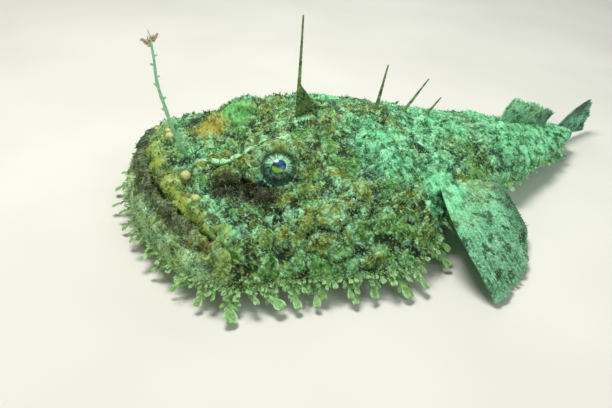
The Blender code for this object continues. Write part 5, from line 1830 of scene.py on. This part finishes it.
# The fringe in three sizes: name, form, spacing, seed, range of length, range of droop in
# radians, lift over the margin and offset along it
for name, form, spacing, seed, reach, droop, lift, offset in (
        ("lappets_large", "lappets", 0.034, 21, (0.033, 0.044), (0.45, 0.95), 0.0, 0.0),
        ("lappets_middle", "lappets", 0.016, 25, (0.018, 0.028), (0.25, 0.85), 0.002, 0.3),
        ("lappets_small", "leaflets", 0.0065, 22, (0.009, 0.017), (0.0, 0.75), 0.005, 0.5)):
    set_forms(name, margin_roots(spacing, seed, reach, len(LAPPETS), droop, lift, offset),
              shelves[form], 0.15, seed, LAPPET)
for part, low, high, tufts, spikes in COAT_PARTS:
    set_forms("tufts_" + part, hide_roots(tufts, 23, (0.0030, 0.0070), 5, (0.1, 1.0),
                                          rim_density(low, high)),
              shelves["tufts"], 0.25, 3, TUFT)
    set_forms("spikes_" + part, hide_roots(spikes, 33, (0.0045, 0.0100), 4, (0.2, 1.1),
                                           rim_density(low, high)),
              shelves["spikes"], 0.25, 5, SPIKE)
set_forms("papillae_back", hide_roots(5200, 24, (0.0016, 0.0034), 3, (0.0, 0.5), coat_density),
          shelves["papillae"], 0.3, 4, WART)
for word in ("left", "right"):
    set_forms("pectoral_filaments_" + word,
              fin_roots("pectoral_" + word, 170, 61, (0.0035, 0.0080), 4, 0.5),
              shelves["spikes"], 0.25, 10, SPIKE)
    set_forms("pectoral_warts_" + word,
              fin_roots("pectoral_" + word, 420, 62, (0.0016, 0.0034), 3, 0.0),
              shelves["papillae"], 0.25, 11, WART)
set_forms("star_warts", named_roots(STAR_WARTS, (0.0070, 0.0095), 41), shelves["stars"], 0.1, 6,
          STAR)
set_forms("dark_knobs", named_roots(DARK_KNOBS, (0.0090, 0.0120), 42, 0.4), shelves["papillae"],
          0.1, 7, KNOB)


def rod_roots(path, shares, reach, turns, forms):
    """Roots along a spine, growing out sideways at given turns and a little upwards."""
    index = (np.array(shares) * (len(path) - 1)).astype(int)
    along = unit(np.gradient(path, axis=0))[index]
    turn = np.array(turns)
    level = np.stack((np.cos(turn), np.sin(turn), turn * 0.0), axis=-1)
    return roots_of(path[index], unit(level + along * 0.5), along, np.array(reach),
                    np.arange(len(shares)) % forms, np.full((len(shares), 2), 0.5),
                    np.ones(len(shares)))


# Flaps of the rod: share along it, length and turn round it in radians
ROD_FLAPS = ((0.14, 0.006, 3.0), (0.17, 0.010, 0.0), (0.20, 0.010, -0.5), (0.23, 0.009, 0.3),
             (0.25, 0.012, -0.1), (0.27, 0.006, 2.8), (0.35, 0.009, 3.2), (0.36, 0.010, -0.2),
             (0.38, 0.008, 0.2), (0.46, 0.007, 3.0), (0.55, 0.006, 0.3), (0.64, 0.006, 2.9),
             (0.72, 0.005, -0.3), (0.80, 0.006, 3.3), (0.87, 0.005, 0.1), (0.92, 0.006, 2.7))
set_forms("lure_flaps", rod_roots(lure_path, *zip(*ROD_FLAPS), 3), shelves["paddles"], 0.1, 8,
          LURE_FLAP)
set_forms("lure_bait", rod_roots(lure_path, (0.945, 0.96, 0.975, 0.985, 0.999),
                                 (0.014, 0.015, 0.016, 0.014, 0.012),
                                 (2.9, 0.3, 4.2, 1.5, 5.4), 6),
          shelves["lappets"], 0.1, 9, LURE_FLESH)
for group in shelves.values():
    for form in list(group.objects):
        bpy.data.objects.remove(form)
    bpy.data.collections.remove(group)

# Floor, light and camera

FLOOR_REACH = 6.0
FLOOR_TOP = -0.0005
floor_corners = [(x * FLOOR_REACH, y * FLOOR_REACH, FLOOR_TOP)
                 for x, y in ((-1, -1), (1, -1), (1, 1), (-1, 1))]
floor_mesh = bpy.data.meshes.new("floor")
floor_mesh.from_pydata(floor_corners, [], [(0, 1, 2, 3)])
floor_mesh.materials.append(floor_finish())
floor = bpy.data.objects.new("floor", floor_mesh)
bpy.context.scene.collection.objects.link(floor)


def area_light(name, place, target, size, power, hex_colour):
    """One soft rectangular light."""
    data = bpy.data.lights.new(name, "AREA")
    data.energy = power
    data.size = size
    data.color = linear(hex_colour)[:3]
    lamp = bpy.data.objects.new(name, data)
    lamp.location = place
    lamp.rotation_mode = "QUATERNION"
    lamp.rotation_quaternion = (Vector(target) - Vector(place)).to_track_quat("-Z", "Y")
    bpy.context.scene.collection.objects.link(lamp)


area_light("key", (-0.5, 0.3, 2.1), (0.0, 0.0, 0.05), 0.8, 41.0, "fffdf6")
area_light("fill", (0.4, -2.0, 1.3), (0.0, 0.0, 0.05), 1.6, 15.0, "f6fff8")
area_light("back", (0.9, 1.8, 1.2), (0.0, 0.0, 0.05), 1.4, 8.0, "f6fff8")
world = bpy.data.worlds.new("soft room")
bpy.context.scene.world = world
world.use_nodes = True
world.node_tree.nodes["Background"].inputs[0].default_value = linear("e8f2ee")
world.node_tree.nodes["Background"].inputs[1].default_value = 0.22
bpy.context.scene.view_settings.view_transform = "Standard"

# The camera of the photo, as fitted: its focal length is in pixels of the photo's width
PHOTO_WIDTH = 612.0
FOCAL_LENGTH = 650.0
SENSOR_WIDTH = 36.0
CAMERA_AZIMUTH = math.radians(22.4)
CAMERA_ELEVATION = math.radians(31.8)
CAMERA_DISTANCE = 0.933
CAMERA_ROLL = math.radians(4.3)
CAMERA_TARGET = Vector((0.240, -0.036, 0.020)) - Vector(MIDDLE)
outward_way = Vector((-math.sin(CAMERA_AZIMUTH) * math.cos(CAMERA_ELEVATION),
                      -math.cos(CAMERA_AZIMUTH) * math.cos(CAMERA_ELEVATION),
                      math.sin(CAMERA_ELEVATION)))
right_way = (-outward_way).cross(Vector((0.0, 0.0, 1.0))).normalized()
upper_way = right_way.cross(-outward_way)
rolled_right = right_way * math.cos(CAMERA_ROLL) + upper_way * math.sin(CAMERA_ROLL)
rolled_up = upper_way * math.cos(CAMERA_ROLL) - right_way * math.sin(CAMERA_ROLL)
camera_data = bpy.data.cameras.new("camera")
camera_data.sensor_width = SENSOR_WIDTH
camera_data.lens = FOCAL_LENGTH / PHOTO_WIDTH * SENSOR_WIDTH
camera = bpy.data.objects.new("camera", camera_data)
bpy.context.scene.collection.objects.link(camera)
camera.matrix_world = (Matrix.Translation(CAMERA_TARGET + outward_way * CAMERA_DISTANCE)
                       @ Matrix((rolled_right, rolled_up, outward_way)).transposed().to_4x4())
bpy.context.scene.camera = camera
